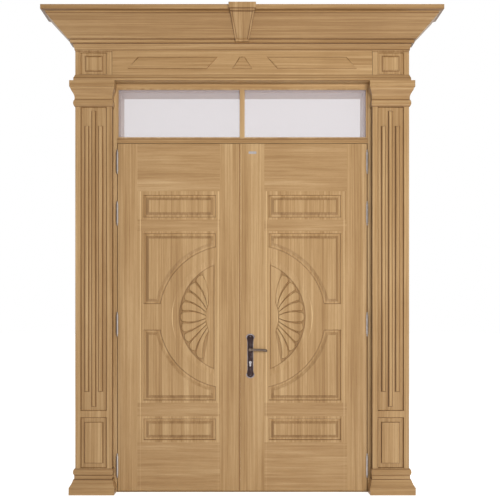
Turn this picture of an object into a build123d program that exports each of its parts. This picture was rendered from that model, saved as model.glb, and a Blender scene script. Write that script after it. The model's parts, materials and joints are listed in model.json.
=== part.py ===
from build123d import *
import math
import os

# Door opening and frame
opening_width = 1602.0
jamb_face = 55.0
frame_depth = 230.0
rebate_depth = 56.0
stop_width = 18.0
frame_sheet = 2.0
frame_lip = 22.0
threshold_height = 4.0
threshold_stop = 24.0
bar_face = 30.0
glass_stop = 8.0
light_height = 322.0
mullion_width = 31.0
mullion_depth = 110.0

# Glass and seals
glass_setback = 12.0
glass_thickness = 6.0
glass_clearance = 0.5
glass_groove = 8.0
bead_size = 9.0
gasket_width = 12.0
gasket_thickness = 5.4
gasket_inset = 2.0
meeting_seal_width = 7.0
meeting_seal_thickness = 5.2
meeting_seal_inset = 2.0

# Leaves
leaf_thickness = 50.0
leaf_height = 2221.0
leaf_floor_gap = 4.0
leaf_top_gap = 3.0
hinge_gap = 4.0
meeting_offset = 16.6
meeting_gap = 6.0
skin = 1.5

# Pressed panels of a leaf
relief_depth = 10.0
panel_inner_x = 170.0
panel_width = 461.0
groove_wall_run = 3.0
groove_floor = 10.0
field_bevel = 19.0
field_step = 1.4
field_step_run = 1.0
field_depth = 1.2
top_panel_share = (0.7882, 0.8523)
big_panel_share = (0.2607, 0.7416)
belt_share = 0.0747
bottom_panel_share = (0.1463, 0.2080)

# Fan in the middle of a leaf
ring_centre_x = 75.0
ring_radius = 456.0
fan_centre_x = 45.0
fan_radius = 359.0
fan_bevel = 44.0
fan_step = 4.0
fan_step_run = 1.0
fan_side_x = 182.0
hub_centre_x = -19.0
hub_radius = 250.0
hub_angle = 20.6
petal_margin = 18.0
petal_angle = 53.0
petal_lobe = 12.0
petal_height = 8.4
petal_crown_inset = 4.0
petal_count = 9
petal_steps = 4
petal_base_share = 0.94
petal_crown_share = 0.74
petal_bow_share = 0.08

# Pilasters
jamb_reveal = 23.0
pilaster_width = 231.0
pilaster_projection = 75.0
cover_sheet = 2.0
cover_lip = 18.0
strip_width = 32.0
recess_depth = 10.0
recess_run = 5.0
rib_width = 26.0
rib_pitch = 44.0
rib_height = 8.0
rib_run = 4.0
rib_end_gap = 25.0
side_rib_end_gap = 120.0
pedestal_top = 487.0
pedestal_foot = 165.0
rail_height = 40.0
pedestal_field_width = 118.0
pedestal_field_gap = 30.0
pedestal_field_height = 9.0

# Plinth outline, flares measured from the pilaster faces
plinth_block_height = 47.0
plinth_flare = 36.0
plinth_slope_height = 48.0
plinth_slope_flare = 12.0
plinth_fillet_height = 26.0
plinth_fillet_flare = 6.0
plinth_torus_height = 41.0
plinth_torus_flare = 13.0
plinth_inner_flare = 19.0

# Capital outline
capital_height = 160.0
capital_bead_height = 45.0
capital_bead_flare = 12.0
capital_neck_flare = 4.0
capital_neck_height = 16.0
capital_ogee_height = 59.0
capital_ogee_flare = 29.0
capital_flare = 33.0
capital_inner_share = 0.62

# Entablature between capitals and cornice
head_reveal = 26.0
entablature_height = 196.0
foot_moulding_height = 41.0
foot_moulding_flare = 11.0
foot_moulding_top = 2.0
block_field_width = 114.0
block_field_height = 101.0
block_field_rise = 9.0
block_field_bevel = 12.0
block_recess_margin = 12.0
frieze_gap = 2.0
lozenge_rise = 8.0
lozenge_bevel = 7.0
lozenge_foot = 78.0
lozenge_height = 77.0
lozenge_slant = 66.0
lozenge_inner_x = 222.0
lozenge_outer_x = 725.0
middle_lozenge_half = 64.0
middle_lozenge_slant = 47.0

# Cornice outline, flares measured from the pilaster faces
cornice_sheet = 3.0
bed_start = 4.0
bed_flare = 15.0
bed_height = 39.0
fillet_flare = 28.0
fillet_height = 23.0
slope_start_flare = 38.0
slope_end_flare = 157.0
slope_height = 127.0
crown_neck_height = 8.0
crown_flare = 183.0
crown_step = 8.0
crown_height = 28.0

# Keystone
keystone_proud = 20.0
keystone_panel_sink = 8.0
keystone_border = 12.0
keystone_top_half = 78.0
keystone_cap_half = 84.0
keystone_foot_half = 42.0
keystone_cap_height = 36.0
keystone_cap_rise = 8.0
keystone_foot_rise = 6.0
keystone_cap_step = 5.0
keystone_seat = 60.0

# Hinges
hinge_length = 125.0
hinge_share = (0.0734, 0.4799, 0.7992, 0.9478)
hinge_offset = 8.0
knuckle_radius = 7.5
knuckle_count = 2
knuckle_gap = 0.4
hinge_plate = 1.8
hinge_plate_depth = 34.0
hinge_plate_start = 0.4
pin_radius = 4.0
pin_clearance = 0.05
pin_tip = 8.0

# Lock and handles on the right leaf
lever_height = 912.0
lever_x = 52.0
cylinder_drop = 82.0
faceplate_width = 24.0
faceplate_height = 230.0
faceplate_thickness = 3.0
case_width = 18.0
case_height = 172.0
case_depth = 92.0
case_clearance = 0.4
latch_thickness = 13.0
latch_height = 22.0
latch_reach = 3.6
latch_travel = 3.6
latch_length = 44.0
bolt_thickness = 13.0
bolt_height = 32.0
bolt_throw = 20.0
bolt_length = 56.0
bolt_clearance = 0.4
spindle_side = 8.0
spindle_hole_radius = 6.2
cylinder_radius = 8.5
cylinder_tail = 10.0
cylinder_foot = 24.0
cylinder_proud = 2.0
cylinder_clearance = 0.5
plug_radius = 5.0
plug_clearance = 0.05
plug_depth = 12.0
keyway_width = 2.2
keyway_height = 8.0
keyway_depth = 6.0
plate_base = 4.5
plate_raise = 3.5
plate_half = 20.0
plate_end_half = 28.0
plate_length = 285.0
plate_end_length = 48.0
plate_lobe_length = 24.0
plate_raise_share = 0.68
plate_raise_length_share = 0.86
neck_radius = 10.0
neck_clearance = 0.5
neck_length = 34.0
rose_radius = 13.0
rose_height = 6.0
lever_length = 108.0
lever_root_half = 9.0
lever_mid_half = 7.6
lever_tip_half = 8.4
lever_depth_share = 0.8
lever_bend_shares = (0.25, 0.75)
lever_sag_share = 0.25
lever_drop = 7.0
lever_sides = 16
turn_radius = 11.0
turn_height = 6.0
turn_wing_length = 34.0
turn_wing_width = 7.0
turn_wing_height = 13.0
turn_gap = 0.5

# Strike and flush bolts on the left leaf
strike_margin = 1.5
strike_pocket = 26.0
flush_plate_height = 140.0
flush_plate_width = 18.0
flush_plate_thickness = 3.0
flush_plate_offset = 90.0
flush_rod_inset = 14.0
flush_rod_radius = 5.0
flush_rod_clearance = 0.5
flush_throw = 8.0
flush_slide_width = 8.0
flush_slide_height = 16.0
flush_slot_margin = 0.5
flush_channel = 16.0
flush_end_gap = 1.0

# Wall straps behind the jambs
strap_thickness = 3.0
strap_width = 60.0
strap_length = 190.0
strap_hole_radius = 6.0
strap_hole_spacing = 100.0
strap_low_share = 0.15
strap_high_share = 0.85

# Overrun of cutting tools past a face
over = 1.0

# Derived planes and levels
front = -leaf_thickness / 2
back = leaf_thickness / 2
frame_back = front + frame_depth
stop_y = front + rebate_depth
glass_front = front + glass_setback
glass_back = glass_front + glass_thickness
rebate_x = opening_width / 2
stop_x = rebate_x - stop_width
jamb_x = rebate_x + jamb_face
leaf_bottom = threshold_height + leaf_floor_gap
leaf_top = leaf_bottom + leaf_height
bar_bottom = leaf_top + leaf_top_gap
bar_top = bar_bottom + bar_face
head_bottom = bar_top + light_height
head_top = head_bottom + jamb_face
frieze_bottom = head_bottom + head_reveal
capital_bottom = frieze_bottom - capital_height
cornice_bottom = frieze_bottom + entablature_height
cover_front = front - pilaster_projection
pilaster_in = rebate_x + jamb_reveal
pilaster_out = pilaster_in + pilaster_width
leaf_out = rebate_x - hinge_gap
left_edge = -meeting_offset - meeting_gap / 2
right_edge = -meeting_offset + meeting_gap / 2
leaf_wall = relief_depth + skin
hinge_x = rebate_x - hinge_gap / 2
hinge_y = front - hinge_offset
lock_mid = lever_height - cylinder_drop / 2
cylinder_z = lever_height - cylinder_drop
gasket_x = stop_x + gasket_inset
panel_outer_x = panel_inner_x + panel_width


def block(x_low, x_high, y_low, y_high, z_low, z_high):
    """Plain block between two corners."""
    size = Box(x_high - x_low, y_high - y_low, z_high - z_low)
    return Pos((x_low + x_high) / 2, (y_low + y_high) / 2, (z_low + z_high) / 2) * size


def prism(points, direction):
    """Straight bar with a polygon section."""
    return Part() + Solid.extrude(Face(Wire.make_polygon(points)), direction)


def post(points, z_low, z_high):
    """Upright bar from a section in X and Y."""
    return prism([(x, y, z_low) for x, y in points], (0, 0, z_high - z_low))


def slab(points, y_low, y_high):
    """Bar along Y from a section in X and Z."""
    return prism([(x, y_low, z) for x, z in points], (0, y_high - y_low, 0))


def rod(x, z, radius, y_low, y_high):
    """Round bar along Y."""
    return Pos(x, (y_low + y_high) / 2, z) * Rot(90, 0, 0) * Cylinder(radius, y_high - y_low)


def pillar(x, y, radius, z_low, z_high):
    """Round upright bar."""
    return Pos(x, y, (z_low + z_high) / 2) * Cylinder(radius, z_high - z_low)


def hopper(wire_a, wire_b):
    """Solid with straight walls between two outlines."""
    return Part() + Solid.make_loft([wire_a, wire_b], True)


def rectangle(x_low, x_high, z_low, z_high, inset, y):
    """Upright rectangle in the plane y, drawn in by inset."""
    low, high = z_low + inset, z_high - inset
    left, right = x_low + inset, x_high - inset
    return Wire.make_polygon([(left, y, low), (right, y, low), (right, y, high), (left, y, high)])


def mirrored(shape):
    """The same piece on the other side of the door's middle."""
    return mirror(shape, Plane.YZ)


def pocket(x_low, x_high, z_low, z_high, y_face, depth, run):
    """Pressed recess with sloping walls in a face that looks along -Y."""
    spread = -run * over / depth
    mouth = rectangle(x_low, x_high, z_low, z_high, spread, y_face - over)
    floor = rectangle(x_low, x_high, z_low, z_high, run, y_face + depth)
    return hopper(mouth, floor)


def boss(x_low, x_high, z_low, z_high, y_floor, rise, run):
    """Raised field with sloping walls on a floor that looks along -Y."""
    spread = -run * over / rise
    foot = rectangle(x_low, x_high, z_low, z_high, spread, y_floor + over)
    top = rectangle(x_low, x_high, z_low, z_high, run, y_floor - rise)
    return hopper(foot, top)


def path_edges(path, place):
    """Edges along a moulding outline; a third entry is the middle of an arc."""
    edges = []
    for start, end in zip(path, path[1:]):
        a = place(start[0], start[1])
        b = place(end[0], end[1])
        if len(end) == 2:
            edges.append(Edge.make_line(a, b))
        else:
            edges.append(Edge.make_three_point_arc(a, place(*end[2]), b))
    return edges


def moulding(path, x_low, x_high, y_front, y_back, low_share, high_share):
    """Solid that follows an outline of flares and heights on its front and on both sides."""
    reach = max(point[0] for point in path) + over
    z_low = path[0][1]
    z_high = path[-1][1]
    x_start = x_low - reach

    def on_front(flare, z):
        return (x_start, y_front - flare, z)

    def on_low(flare, z):
        return (x_low - flare * low_share, y_front - reach, z)

    def on_high(flare, z):
        return (x_high + flare * high_share, y_front - reach, z)

    edges = path_edges(path, on_front)
    corners = [on_front(path[-1][0], z_high), (x_start, y_back, z_high)]
    corners += [(x_start, y_back, z_low), on_front(path[0][0], z_low)]
    edges += [Edge.make_line(a, b) for a, b in zip(corners, corners[1:])]
    run = Solid.extrude(Face(Wire(edges)), (x_high - x_low + 2 * reach, 0, 0))
    sides = path_edges(path, on_low) + path_edges(path, on_high)
    sides.append(Edge.make_line(on_low(path[-1][0], z_high), on_high(path[-1][0], z_high)))
    sides.append(Edge.make_line(on_low(path[0][0], z_low), on_high(path[0][0], z_low)))
    depth = y_back - y_front + reach
    across = Solid.extrude(Face(Wire(sides)), (0, depth, 0))
    return Part() + (run & across)


def frame_section(wall):
    """Corners of the frame section as (distance from the rebate line, y), drawn in by wall."""
    return [
        (wall, front + wall),
        (jamb_face - wall, front + wall),
        (jamb_face - wall, frame_back - wall),
        (wall - stop_width, frame_back - wall),
        (wall - stop_width, stop_y + wall),
        (wall, stop_y + wall),
    ]


def corner_wedge(upper):
    """Part of a frame corner on one side of its mitre."""
    low = (stop_x - over, head_bottom - stop_width - over)
    high = (jamb_x + over, head_top + over)
    third = (low[0], high[1]) if upper else (high[0], low[1])
    return slab([low, high, third], front - over, frame_back + over)


def make_jamb():
    """Right jamb, a folded channel that is open to the wall."""
    outer = post([(rebate_x + u, y) for u, y in frame_section(0)], 0, head_top)
    inner = post([(rebate_x + u, y) for u, y in frame_section(frame_sheet)], -over, head_top + over)
    mouth_x = jamb_x - frame_sheet - over
    mouth = block(mouth_x, jamb_x + over, front + frame_lip, frame_back - frame_lip, -over, head_top + over)
    return outer - inner - mouth - corner_wedge(True)


def make_head():
    """Frame head with the section of the jambs."""
    def bar(wall, x_end):
        points = [(-x_end, y, head_bottom + u) for u, y in frame_section(wall)]
        return prism(points, (2 * x_end, 0, 0))

    mouth_z = head_top - frame_sheet - over
    mouth = block(-jamb_x, jamb_x, front + frame_lip, frame_back - frame_lip, mouth_z, head_top + over)
    wedge = corner_wedge(False)
    return bar(0, jamb_x) - bar(frame_sheet, jamb_x + over) - mouth - wedge - mirrored(wedge)


def make_bar():
    """Transom bar, a folded tube with a stop below for the leaves and a rise behind the glass."""
    wall = frame_sheet
    rear_low = bar_bottom - stop_width
    rear_high = bar_top + glass_stop
    outer = block(-rebate_x, rebate_x, front, stop_y, bar_bottom, bar_top)
    outer += block(-stop_x, stop_x, stop_y, frame_back, rear_low, rear_high)
    reach = rebate_x + over
    inner = block(-reach, reach, front + wall, stop_y + 2 * wall, bar_bottom + wall, bar_top - wall)
    inner += block(-reach, reach, stop_y + wall, frame_back - wall, rear_low + wall, rear_high - wall)
    radius = flush_rod_radius + flush_rod_clearance
    return outer - inner - pillar(rod_x, 0, radius, bar_bottom - over, bar_bottom + wall + over)


def make_mullion():
    """Upright between the two panes, grooved for the glass."""
    half = mullion_width / 2
    upright = block(-half, half, front, stop_y, bar_top, head_bottom)
    ends = (bar_top + glass_stop, head_bottom - stop_width)
    upright += block(-half, half, stop_y, front + mullion_depth, *ends)
    y_low = glass_front - glass_clearance
    y_high = glass_back + glass_clearance
    groove = block(half - glass_groove, half + over, y_low, y_high, bar_top, head_bottom)
    return upright - groove - mirrored(groove)


def make_glass():
    """Right pane."""
    x_low = mullion_width / 2 - glass_groove + glass_clearance
    x_high = rebate_x - glass_clearance
    z_low = bar_top + glass_clearance
    return block(x_low, x_high, glass_front, glass_back, z_low, head_bottom - glass_clearance)


def make_beads():
    """Beads in front of the right pane and behind it."""
    x_low = mullion_width / 2
    side_x = rebate_x - bead_size
    z_low, z_high = bar_top + bead_size, head_bottom - bead_size
    beads = []
    for y_low in (glass_front - bead_size, glass_back):
        y_high = y_low + bead_size
        beads.append(block(x_low, rebate_x, y_low, y_high, bar_top, z_low))
        beads.append(block(x_low, rebate_x, y_low, y_high, z_high, head_bottom))
        beads.append(block(side_x, rebate_x, y_low, y_high, z_low, z_high))
    return beads


def make_threshold():
    """Sill with a step behind the leaves."""
    sill = block(-rebate_x, rebate_x, front, stop_y, 0, threshold_height)
    sill += block(-stop_x, stop_x, stop_y, frame_back, 0, threshold_height + threshold_stop)
    radius = flush_rod_radius + flush_rod_clearance
    return sill - pillar(rod_x, 0, radius, -over, threshold_height + over)


def make_gasket():
    """Rubber strips on the stop behind the leaves."""
    def bulb(low, high, place):
        middle = place((low + high) / 2, stop_y - gasket_thickness)
        ends = (place(low, stop_y), place(high, stop_y))
        edges = [Edge.make_line(*ends), Edge.make_three_point_arc(ends[0], middle, ends[1])]
        return Face(Wire(edges))

    foot_z = threshold_height + threshold_stop
    head_z = bar_bottom - stop_width + gasket_inset
    right = bulb(gasket_x, gasket_x + gasket_width, lambda u, y: (u, y, foot_z))
    right = Part() + Solid.extrude(right, (0, 0, head_z - foot_z))
    head = bulb(head_z, head_z + gasket_width, lambda u, y: (-gasket_x, y, u))
    head = Part() + Solid.extrude(head, (2 * gasket_x, 0, 0))
    return [right, mirrored(right), head]


def make_straps():
    """Right wall straps, each with two holes."""
    y_mid = front + frame_depth / 2
    y_ends = (y_mid - strap_length / 2, y_mid + strap_length / 2)
    straps = []
    for share in (strap_low_share, strap_high_share):
        z = head_bottom * share
        low, high = z - strap_width / 2, z + strap_width / 2
        strap = block(jamb_x, jamb_x + strap_thickness, *y_ends, low, high)
        for side in (-1, 1):
            hole = Rot(0, 90, 0) * Cylinder(strap_hole_radius, 2 * strap_width)
            strap -= Pos(jamb_x, y_mid + side * strap_hole_spacing / 2, z) * hole
        straps.append(strap)
    return straps


def pilaster_recesses(wall):
    """Flute recess and pedestal recess of the right pilaster, pushed back by wall."""
    x_low = pilaster_in + strip_width
    x_high = pilaster_out - strip_width
    y_face = cover_front + wall
    foot = pedestal_top + rail_height
    flutes = pocket(x_low, x_high, foot, capital_bottom, y_face, recess_depth, recess_run)
    pedestal = pocket(x_low, x_high, pedestal_foot, pedestal_top, y_face, recess_depth, recess_run)
    return flutes + pedestal


def make_pilaster():
    """Right pilaster, a folded cover that is open to the wall behind."""
    x_mid = (pilaster_in + pilaster_out) / 2
    y_floor = cover_front + recess_depth
    foot = pedestal_top + rail_height
    shaft = block(pilaster_in, pilaster_out, cover_front, front, 0, frieze_bottom) - pilaster_recesses(0)
    for place in (-1, 0, 1):
        gap = side_rib_end_gap if place else rib_end_gap
        x = x_mid + place * rib_pitch
        low, high = x - rib_width / 2, x + rib_width / 2
        shaft += boss(low, high, foot + gap, capital_bottom - gap, y_floor, rib_height, rib_run)
    half = pedestal_field_width / 2
    field = (pedestal_foot + pedestal_field_gap, pedestal_top - pedestal_field_gap)
    shaft += boss(x_mid - half, x_mid + half, *field, y_floor, pedestal_field_height, rib_run)
    wall = cover_sheet
    x_low, x_high = pilaster_in + wall, pilaster_out - wall
    hollow = block(x_low, x_high, cover_front + wall, front - wall, -over, frieze_bottom + over)
    hollow -= pilaster_recesses(wall)
    x_low, x_high = pilaster_in + cover_lip, pilaster_out - cover_lip
    mouth = block(x_low, x_high, front - wall - over, front + over, -over, frieze_bottom + over)
    return shaft - hollow - mouth


def make_plinth():
    """Right plinth around the foot of the pilaster."""
    z_block = plinth_block_height
    z_slope = z_block + plinth_slope_height
    z_fillet = z_slope + plinth_fillet_height
    z_top = z_fillet + plinth_torus_height
    slope_mid = (plinth_flare + plinth_slope_flare) / 2 - plinth_fillet_flare / 2
    path = [
        (plinth_flare, 0),
        (plinth_flare, z_block),
        (plinth_slope_flare, z_slope, (slope_mid, (z_block + z_slope) / 2)),
        (plinth_fillet_flare, z_slope),
        (plinth_fillet_flare, z_fillet),
        (plinth_fillet_flare, z_top, (plinth_torus_flare, (z_fillet + z_top) / 2)),
    ]
    low_share = plinth_inner_flare / plinth_flare
    collar = moulding(path, pilaster_in, pilaster_out, cover_front, front, low_share, 1)
    return collar - block(pilaster_in, pilaster_out, cover_front, front + over, -over, z_top + over)


def make_capital():
    """Right capital around the head of the pilaster."""
    z_bead = capital_bottom + capital_bead_height
    z_neck = z_bead + capital_neck_height
    z_ogee = z_neck + capital_ogee_height
    z_half = (z_neck + z_ogee) / 2
    half_flare = (capital_neck_flare + capital_ogee_flare) / 2
    hollow_mid = (capital_neck_flare + half_flare) / 2 - capital_neck_flare / 2
    swell_mid = (half_flare + capital_ogee_flare) / 2 + capital_neck_flare / 2
    path = [
        (capital_neck_flare, capital_bottom),
        (capital_neck_flare, z_bead, (capital_bead_flare, (capital_bottom + z_bead) / 2)),
        (capital_neck_flare, z_neck),
        (half_flare, z_half, (hollow_mid, (z_neck + z_half) / 2)),
        (capital_ogee_flare, z_ogee, (swell_mid, (z_half + z_ogee) / 2)),
        (capital_flare, z_ogee),
        (capital_flare, frieze_bottom),
    ]
    collar = moulding(path, pilaster_in, pilaster_out, cover_front, front, capital_inner_share, 1)
    ends = (capital_bottom - over, frieze_bottom + over)
    return collar - block(pilaster_in, pilaster_out, cover_front, front + over, *ends)


def make_corner_block():
    """Right corner block of the entablature, open to the wall behind."""
    wall = cover_sheet
    x_low, x_high = pilaster_in + strip_width, pilaster_out - strip_width
    z_low = frieze_bottom + foot_moulding_height + foot_moulding_top
    z_high = cornice_bottom - block_recess_margin
    outer = block(pilaster_in, pilaster_out, cover_front, front, frieze_bottom, cornice_bottom)
    outer -= pocket(x_low, x_high, z_low, z_high, cover_front, recess_depth, recess_run)
    x_mid, z_mid = (x_low + x_high) / 2, (z_low + z_high) / 2
    half, tall = block_field_width / 2, block_field_height / 2
    spots = (x_mid - half, x_mid + half, z_mid - tall, z_mid + tall)
    outer += boss(*spots, cover_front + recess_depth, block_field_rise, block_field_bevel)
    x_low_in, x_high_in = pilaster_in + wall, pilaster_out - wall
    z_low_in, z_high_in = frieze_bottom + wall, cornice_bottom - wall
    hollow = block(x_low_in, x_high_in, cover_front + wall, front + over, z_low_in, z_high_in)
    hollow -= pocket(x_low, x_high, z_low, z_high, cover_front + wall, recess_depth, recess_run)
    return outer - hollow


def lozenge(corners, bevel):
    """Raised lozenge on the frieze, corners running round its foot."""
    def ring(inset, y):
        count = len(corners)
        x_mid = sum(x for x, _ in corners) / count
        z_mid = sum(z for _, z in corners) / count
        points = []
        for x, z in corners:
            x_in = x - inset * (1 if x > x_mid else -1)
            z_in = z - inset * (1 if z > z_mid else -1)
            points.append((x_in, y, z_in))
        return Wire.make_polygon(points)

    spread = -bevel * over / lozenge_rise
    return hopper(ring(spread, cover_front + over), ring(bevel, cover_front - lozenge_rise))


def make_frieze():
    """Frieze between the corner blocks with its raised lozenges."""
    wall = cover_sheet
    half = pilaster_in - frieze_gap
    panel = block(-half, half, cover_front, front, frieze_bottom, cornice_bottom)
    z_low, z_high = frieze_bottom + wall, cornice_bottom - wall
    panel -= block(wall - half, half - wall, cover_front + wall, front + over, z_low, z_high)
    low = frieze_bottom + lozenge_foot
    high = low + lozenge_height
    inner, outer = lozenge_inner_x, lozenge_outer_x
    slant = lozenge_slant
    corners = [(inner, low), (outer, low), (outer - slant, high), (inner - slant, high)]
    right = lozenge(corners, lozenge_bevel)
    foot, top = middle_lozenge_half, middle_lozenge_half - middle_lozenge_slant
    middle = lozenge([(-foot, low), (foot, low), (top, high), (-top, high)], lozenge_bevel)
    return panel + right + mirrored(right) + middle


def make_foot_moulding():
    """Moulding along the foot of the entablature, over both capitals."""
    z_top = frieze_bottom + foot_moulding_height
    half = foot_moulding_flare / 2
    path = [
        (foot_moulding_flare, frieze_bottom + foot_moulding_top),
        (foot_moulding_flare, frieze_bottom + foot_moulding_height / 2),
        (foot_moulding_top, z_top, (half, z_top - foot_moulding_height / 4)),
    ]
    strip = moulding(path, -pilaster_out, pilaster_out, cover_front, front, 1, 1)
    return strip - block(-pilaster_out, pilaster_out, cover_front, front + over, frieze_bottom, z_top + over)


def cornice_path(wall):
    """Outline of the cornice, drawn in by wall."""
    z_bed = cornice_bottom + bed_height
    z_fillet = z_bed + fillet_height
    z_slope = z_fillet + slope_height
    z_neck = z_slope + crown_neck_height
    z_step = z_neck + crown_step
    z_top = z_step + crown_height
    bed_mid = ((bed_start + bed_flare) / 2 - wall - bed_start / 2, cornice_bottom + bed_height / 2 + wall)
    return [
        (bed_start - wall, cornice_bottom + wall),
        (bed_flare - wall, z_bed + wall, bed_mid),
        (fillet_flare - wall, z_bed + wall),
        (fillet_flare - wall, z_fillet + wall),
        (slope_start_flare - wall, z_fillet + wall),
        (slope_end_flare - wall, z_slope + wall),
        (slope_end_flare - wall, z_neck + wall),
        (crown_flare - wall, z_step + wall),
        (crown_flare - wall, z_top - wall),
    ]


def cornice_body(wall, y_back):
    """Whole cornice filled to the wall plane."""
    return moulding(cornice_path(wall), -pilaster_out, pilaster_out, cover_front, y_back, 1, 1)


def make_cornice():
    """Front run and right return of the cornice, mitred at the corner."""
    shell = cornice_body(0, front) - cornice_body(cornice_sheet, front + over)
    z_low = cornice_bottom - over
    z_high = cornice_path(0)[-1][1] + over
    reach = crown_flare + over
    near = (pilaster_out + reach, cover_front - reach)
    depth = front + over - cover_front
    far = (pilaster_out - depth, cover_front + depth)
    wedge = post([near, far, (near[0], far[1])], z_low, z_high)
    returned = shell & wedge
    run = shell - wedge - mirrored(wedge)
    return run, returned


def keystone_body(proud, half_top, half_foot, foot_z, top_z):
    """Tapered block that follows the slope of the cornice."""
    z_fillet = cornice_bottom + bed_height + fillet_height
    z_slope = z_fillet + slope_height
    deep = cover_front + keystone_seat
    side = [
        (deep, foot_z),
        (cover_front - fillet_flare - proud, foot_z),
        (cover_front - fillet_flare - proud, z_fillet),
        (cover_front - slope_end_flare - proud, z_slope),
        (cover_front - crown_flare - proud + keystone_cap_step, top_z),
        (deep, top_z),
    ]
    reach = keystone_cap_half + over
    profile = prism([(-reach, y, z) for y, z in side], (2 * reach, 0, 0))
    low, high = foot_z - over, top_z + over
    taper = [(-half_foot, low), (half_foot, low), (half_top, high), (-half_top, high)]
    return profile & slab(taper, cover_front - crown_flare - 2 * proud, deep + over)


def make_keystone():
    """Keystone with a sunk panel and a cap, seated on the cornice."""
    foot_z = cornice_bottom + bed_height + keystone_foot_rise
    z_top = cornice_path(0)[-1][1]
    top_z = z_top + keystone_cap_rise - keystone_cap_height
    rim = keystone_body(keystone_proud, keystone_top_half, keystone_foot_half, foot_z, top_z)
    taper = (keystone_top_half - keystone_foot_half) * keystone_border / (top_z - foot_z)
    sink_top = keystone_top_half - keystone_border - taper
    sink_foot = keystone_foot_half - keystone_border + taper
    sink = [
        (-sink_foot, foot_z + keystone_border),
        (sink_foot, foot_z + keystone_border),
        (sink_top, top_z - keystone_border),
        (-sink_top, top_z - keystone_border),
    ]
    rim -= slab(sink, cover_front - crown_flare - 2 * keystone_proud, cover_front)
    inner_proud = keystone_proud - keystone_panel_sink
    stone = rim + keystone_body(inner_proud, keystone_top_half, keystone_foot_half, foot_z, top_z)
    y_low = cover_front - crown_flare - keystone_proud
    half = keystone_cap_half
    stone += block(-half, half, y_low, cover_front - slope_start_flare, top_z, z_top + keystone_cap_rise)
    return stone - cornice_body(0, front)


def leaf_zone(share):
    """Height on a leaf at a share of its own height."""
    return leaf_bottom + leaf_height * share


def panel_cut(outline):
    """Cut for a pressed panel: steep wall, narrow groove, bevel and the crisp edge of a field."""
    steep = groove_wall_run / relief_depth
    slope = field_bevel / (relief_depth - field_step - field_depth)
    crisp = field_step_run / field_step
    foot = groove_wall_run + groove_floor
    shoulder = foot + field_bevel
    y_shoulder = front + field_depth + field_step
    mouth = outline(-steep * over, front - over)
    hollow = hopper(mouth, outline(groove_wall_run, front + relief_depth))
    bevel_foot = outline(foot - slope * over, front + relief_depth + over)
    hollow -= hopper(bevel_foot, outline(shoulder, y_shoulder))
    field_foot = outline(shoulder - crisp * over, y_shoulder + over)
    return hollow - hopper(field_foot, outline(shoulder + field_step_run, front + field_depth))


def plain_panel(shares):
    """Outline of a rectangular panel on the right leaf."""
    low, high = leaf_zone(shares[0]), leaf_zone(shares[1])
    return lambda inset, y: rectangle(panel_inner_x, panel_outer_x, low, high, inset, y)


def quarter_panel(side):
    """Outline of the big panel above or below its belt, rounded off by the ring of the fan."""
    low, high = leaf_zone(big_panel_share[0]), leaf_zone(big_panel_share[1])
    mid = (low + high) / 2
    belt = leaf_height * belt_share / 2

    def outline(inset, y):
        x_in, x_out = panel_inner_x + inset, panel_outer_x - inset
        top = (high - low) / 2 - inset
        foot = belt + inset
        radius = ring_radius + inset
        x_foot = ring_centre_x + math.sqrt(radius**2 - foot**2)
        z_side = math.sqrt(radius**2 - (x_in - ring_centre_x) ** 2)
        start = math.atan2(foot, x_foot - ring_centre_x)
        end = math.atan2(z_side, x_in - ring_centre_x)
        turn = (start + end) / 2
        x_arc = ring_centre_x + radius * math.cos(turn)
        z_arc = radius * math.sin(turn)

        def at(x, z):
            return (x, y, mid + side * z)

        corners = [at(x_in, z_side), at(x_in, top), at(x_out, top), at(x_out, foot), at(x_foot, foot)]
        edges = [Edge.make_line(a, b) for a, b in zip(corners, corners[1:])]
        edges.append(Edge.make_three_point_arc(corners[-1], at(x_arc, z_arc), corners[0]))
        return Wire(edges)

    return outline


def fan_outline(radius, x_side, y):
    """Outline of the hollow of the fan: an arc closed by an upright side."""
    mid = leaf_zone(sum(big_panel_share) / 2)
    rise = math.sqrt(radius**2 - (x_side - fan_centre_x) ** 2)
    low, high = (x_side, y, mid - rise), (x_side, y, mid + rise)
    arc = Edge.make_three_point_arc(low, (fan_centre_x + radius, y, mid), high)
    return Wire([arc, Edge.make_line(high, low)])


def petal_outline(angles, share, inset, y):
    """Outline of one petal between two groove angles, as shares of the whole spread."""
    mid = leaf_zone(sum(big_panel_share) / 2)
    centre = (angles[0] + angles[1]) / 2
    half = (angles[1] - angles[0]) / 2 * share

    def hub_point(turn):
        angle = math.radians(turn * hub_angle)
        radius = hub_radius + inset
        return (hub_centre_x + radius * math.cos(angle), radius * math.sin(angle))

    def rim_point(turn, lobe):
        angle = math.radians(turn * petal_angle)
        radius = fan_radius - petal_margin - inset + lobe
        return (fan_centre_x + radius * math.cos(angle), radius * math.sin(angle))

    def swell(t):
        return 4 * t * (1 - t)

    def bowed(turn):
        start, end = hub_point(turn), rim_point(turn, 0)
        run, rise = end[0] - start[0], end[1] - start[1]
        lean = petal_bow_share * (1 if start[1] + end[1] > 0 else -1)
        points = []
        for t in steps:
            x = start[0] + run * t - rise * abs(lean) * swell(t)
            points.append((x, start[1] + rise * t + run * lean * swell(t)))
        return points

    steps = [index / petal_steps for index in range(petal_steps + 1)]
    low, high = centre - half, centre + half
    lobe = [rim_point(low + 2 * half * t, petal_lobe * swell(t)) for t in steps[1:-1]]
    points = bowed(low) + lobe + bowed(high)[::-1]
    return Wire.make_polygon([(x, y, mid + z) for x, z in points])


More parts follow.
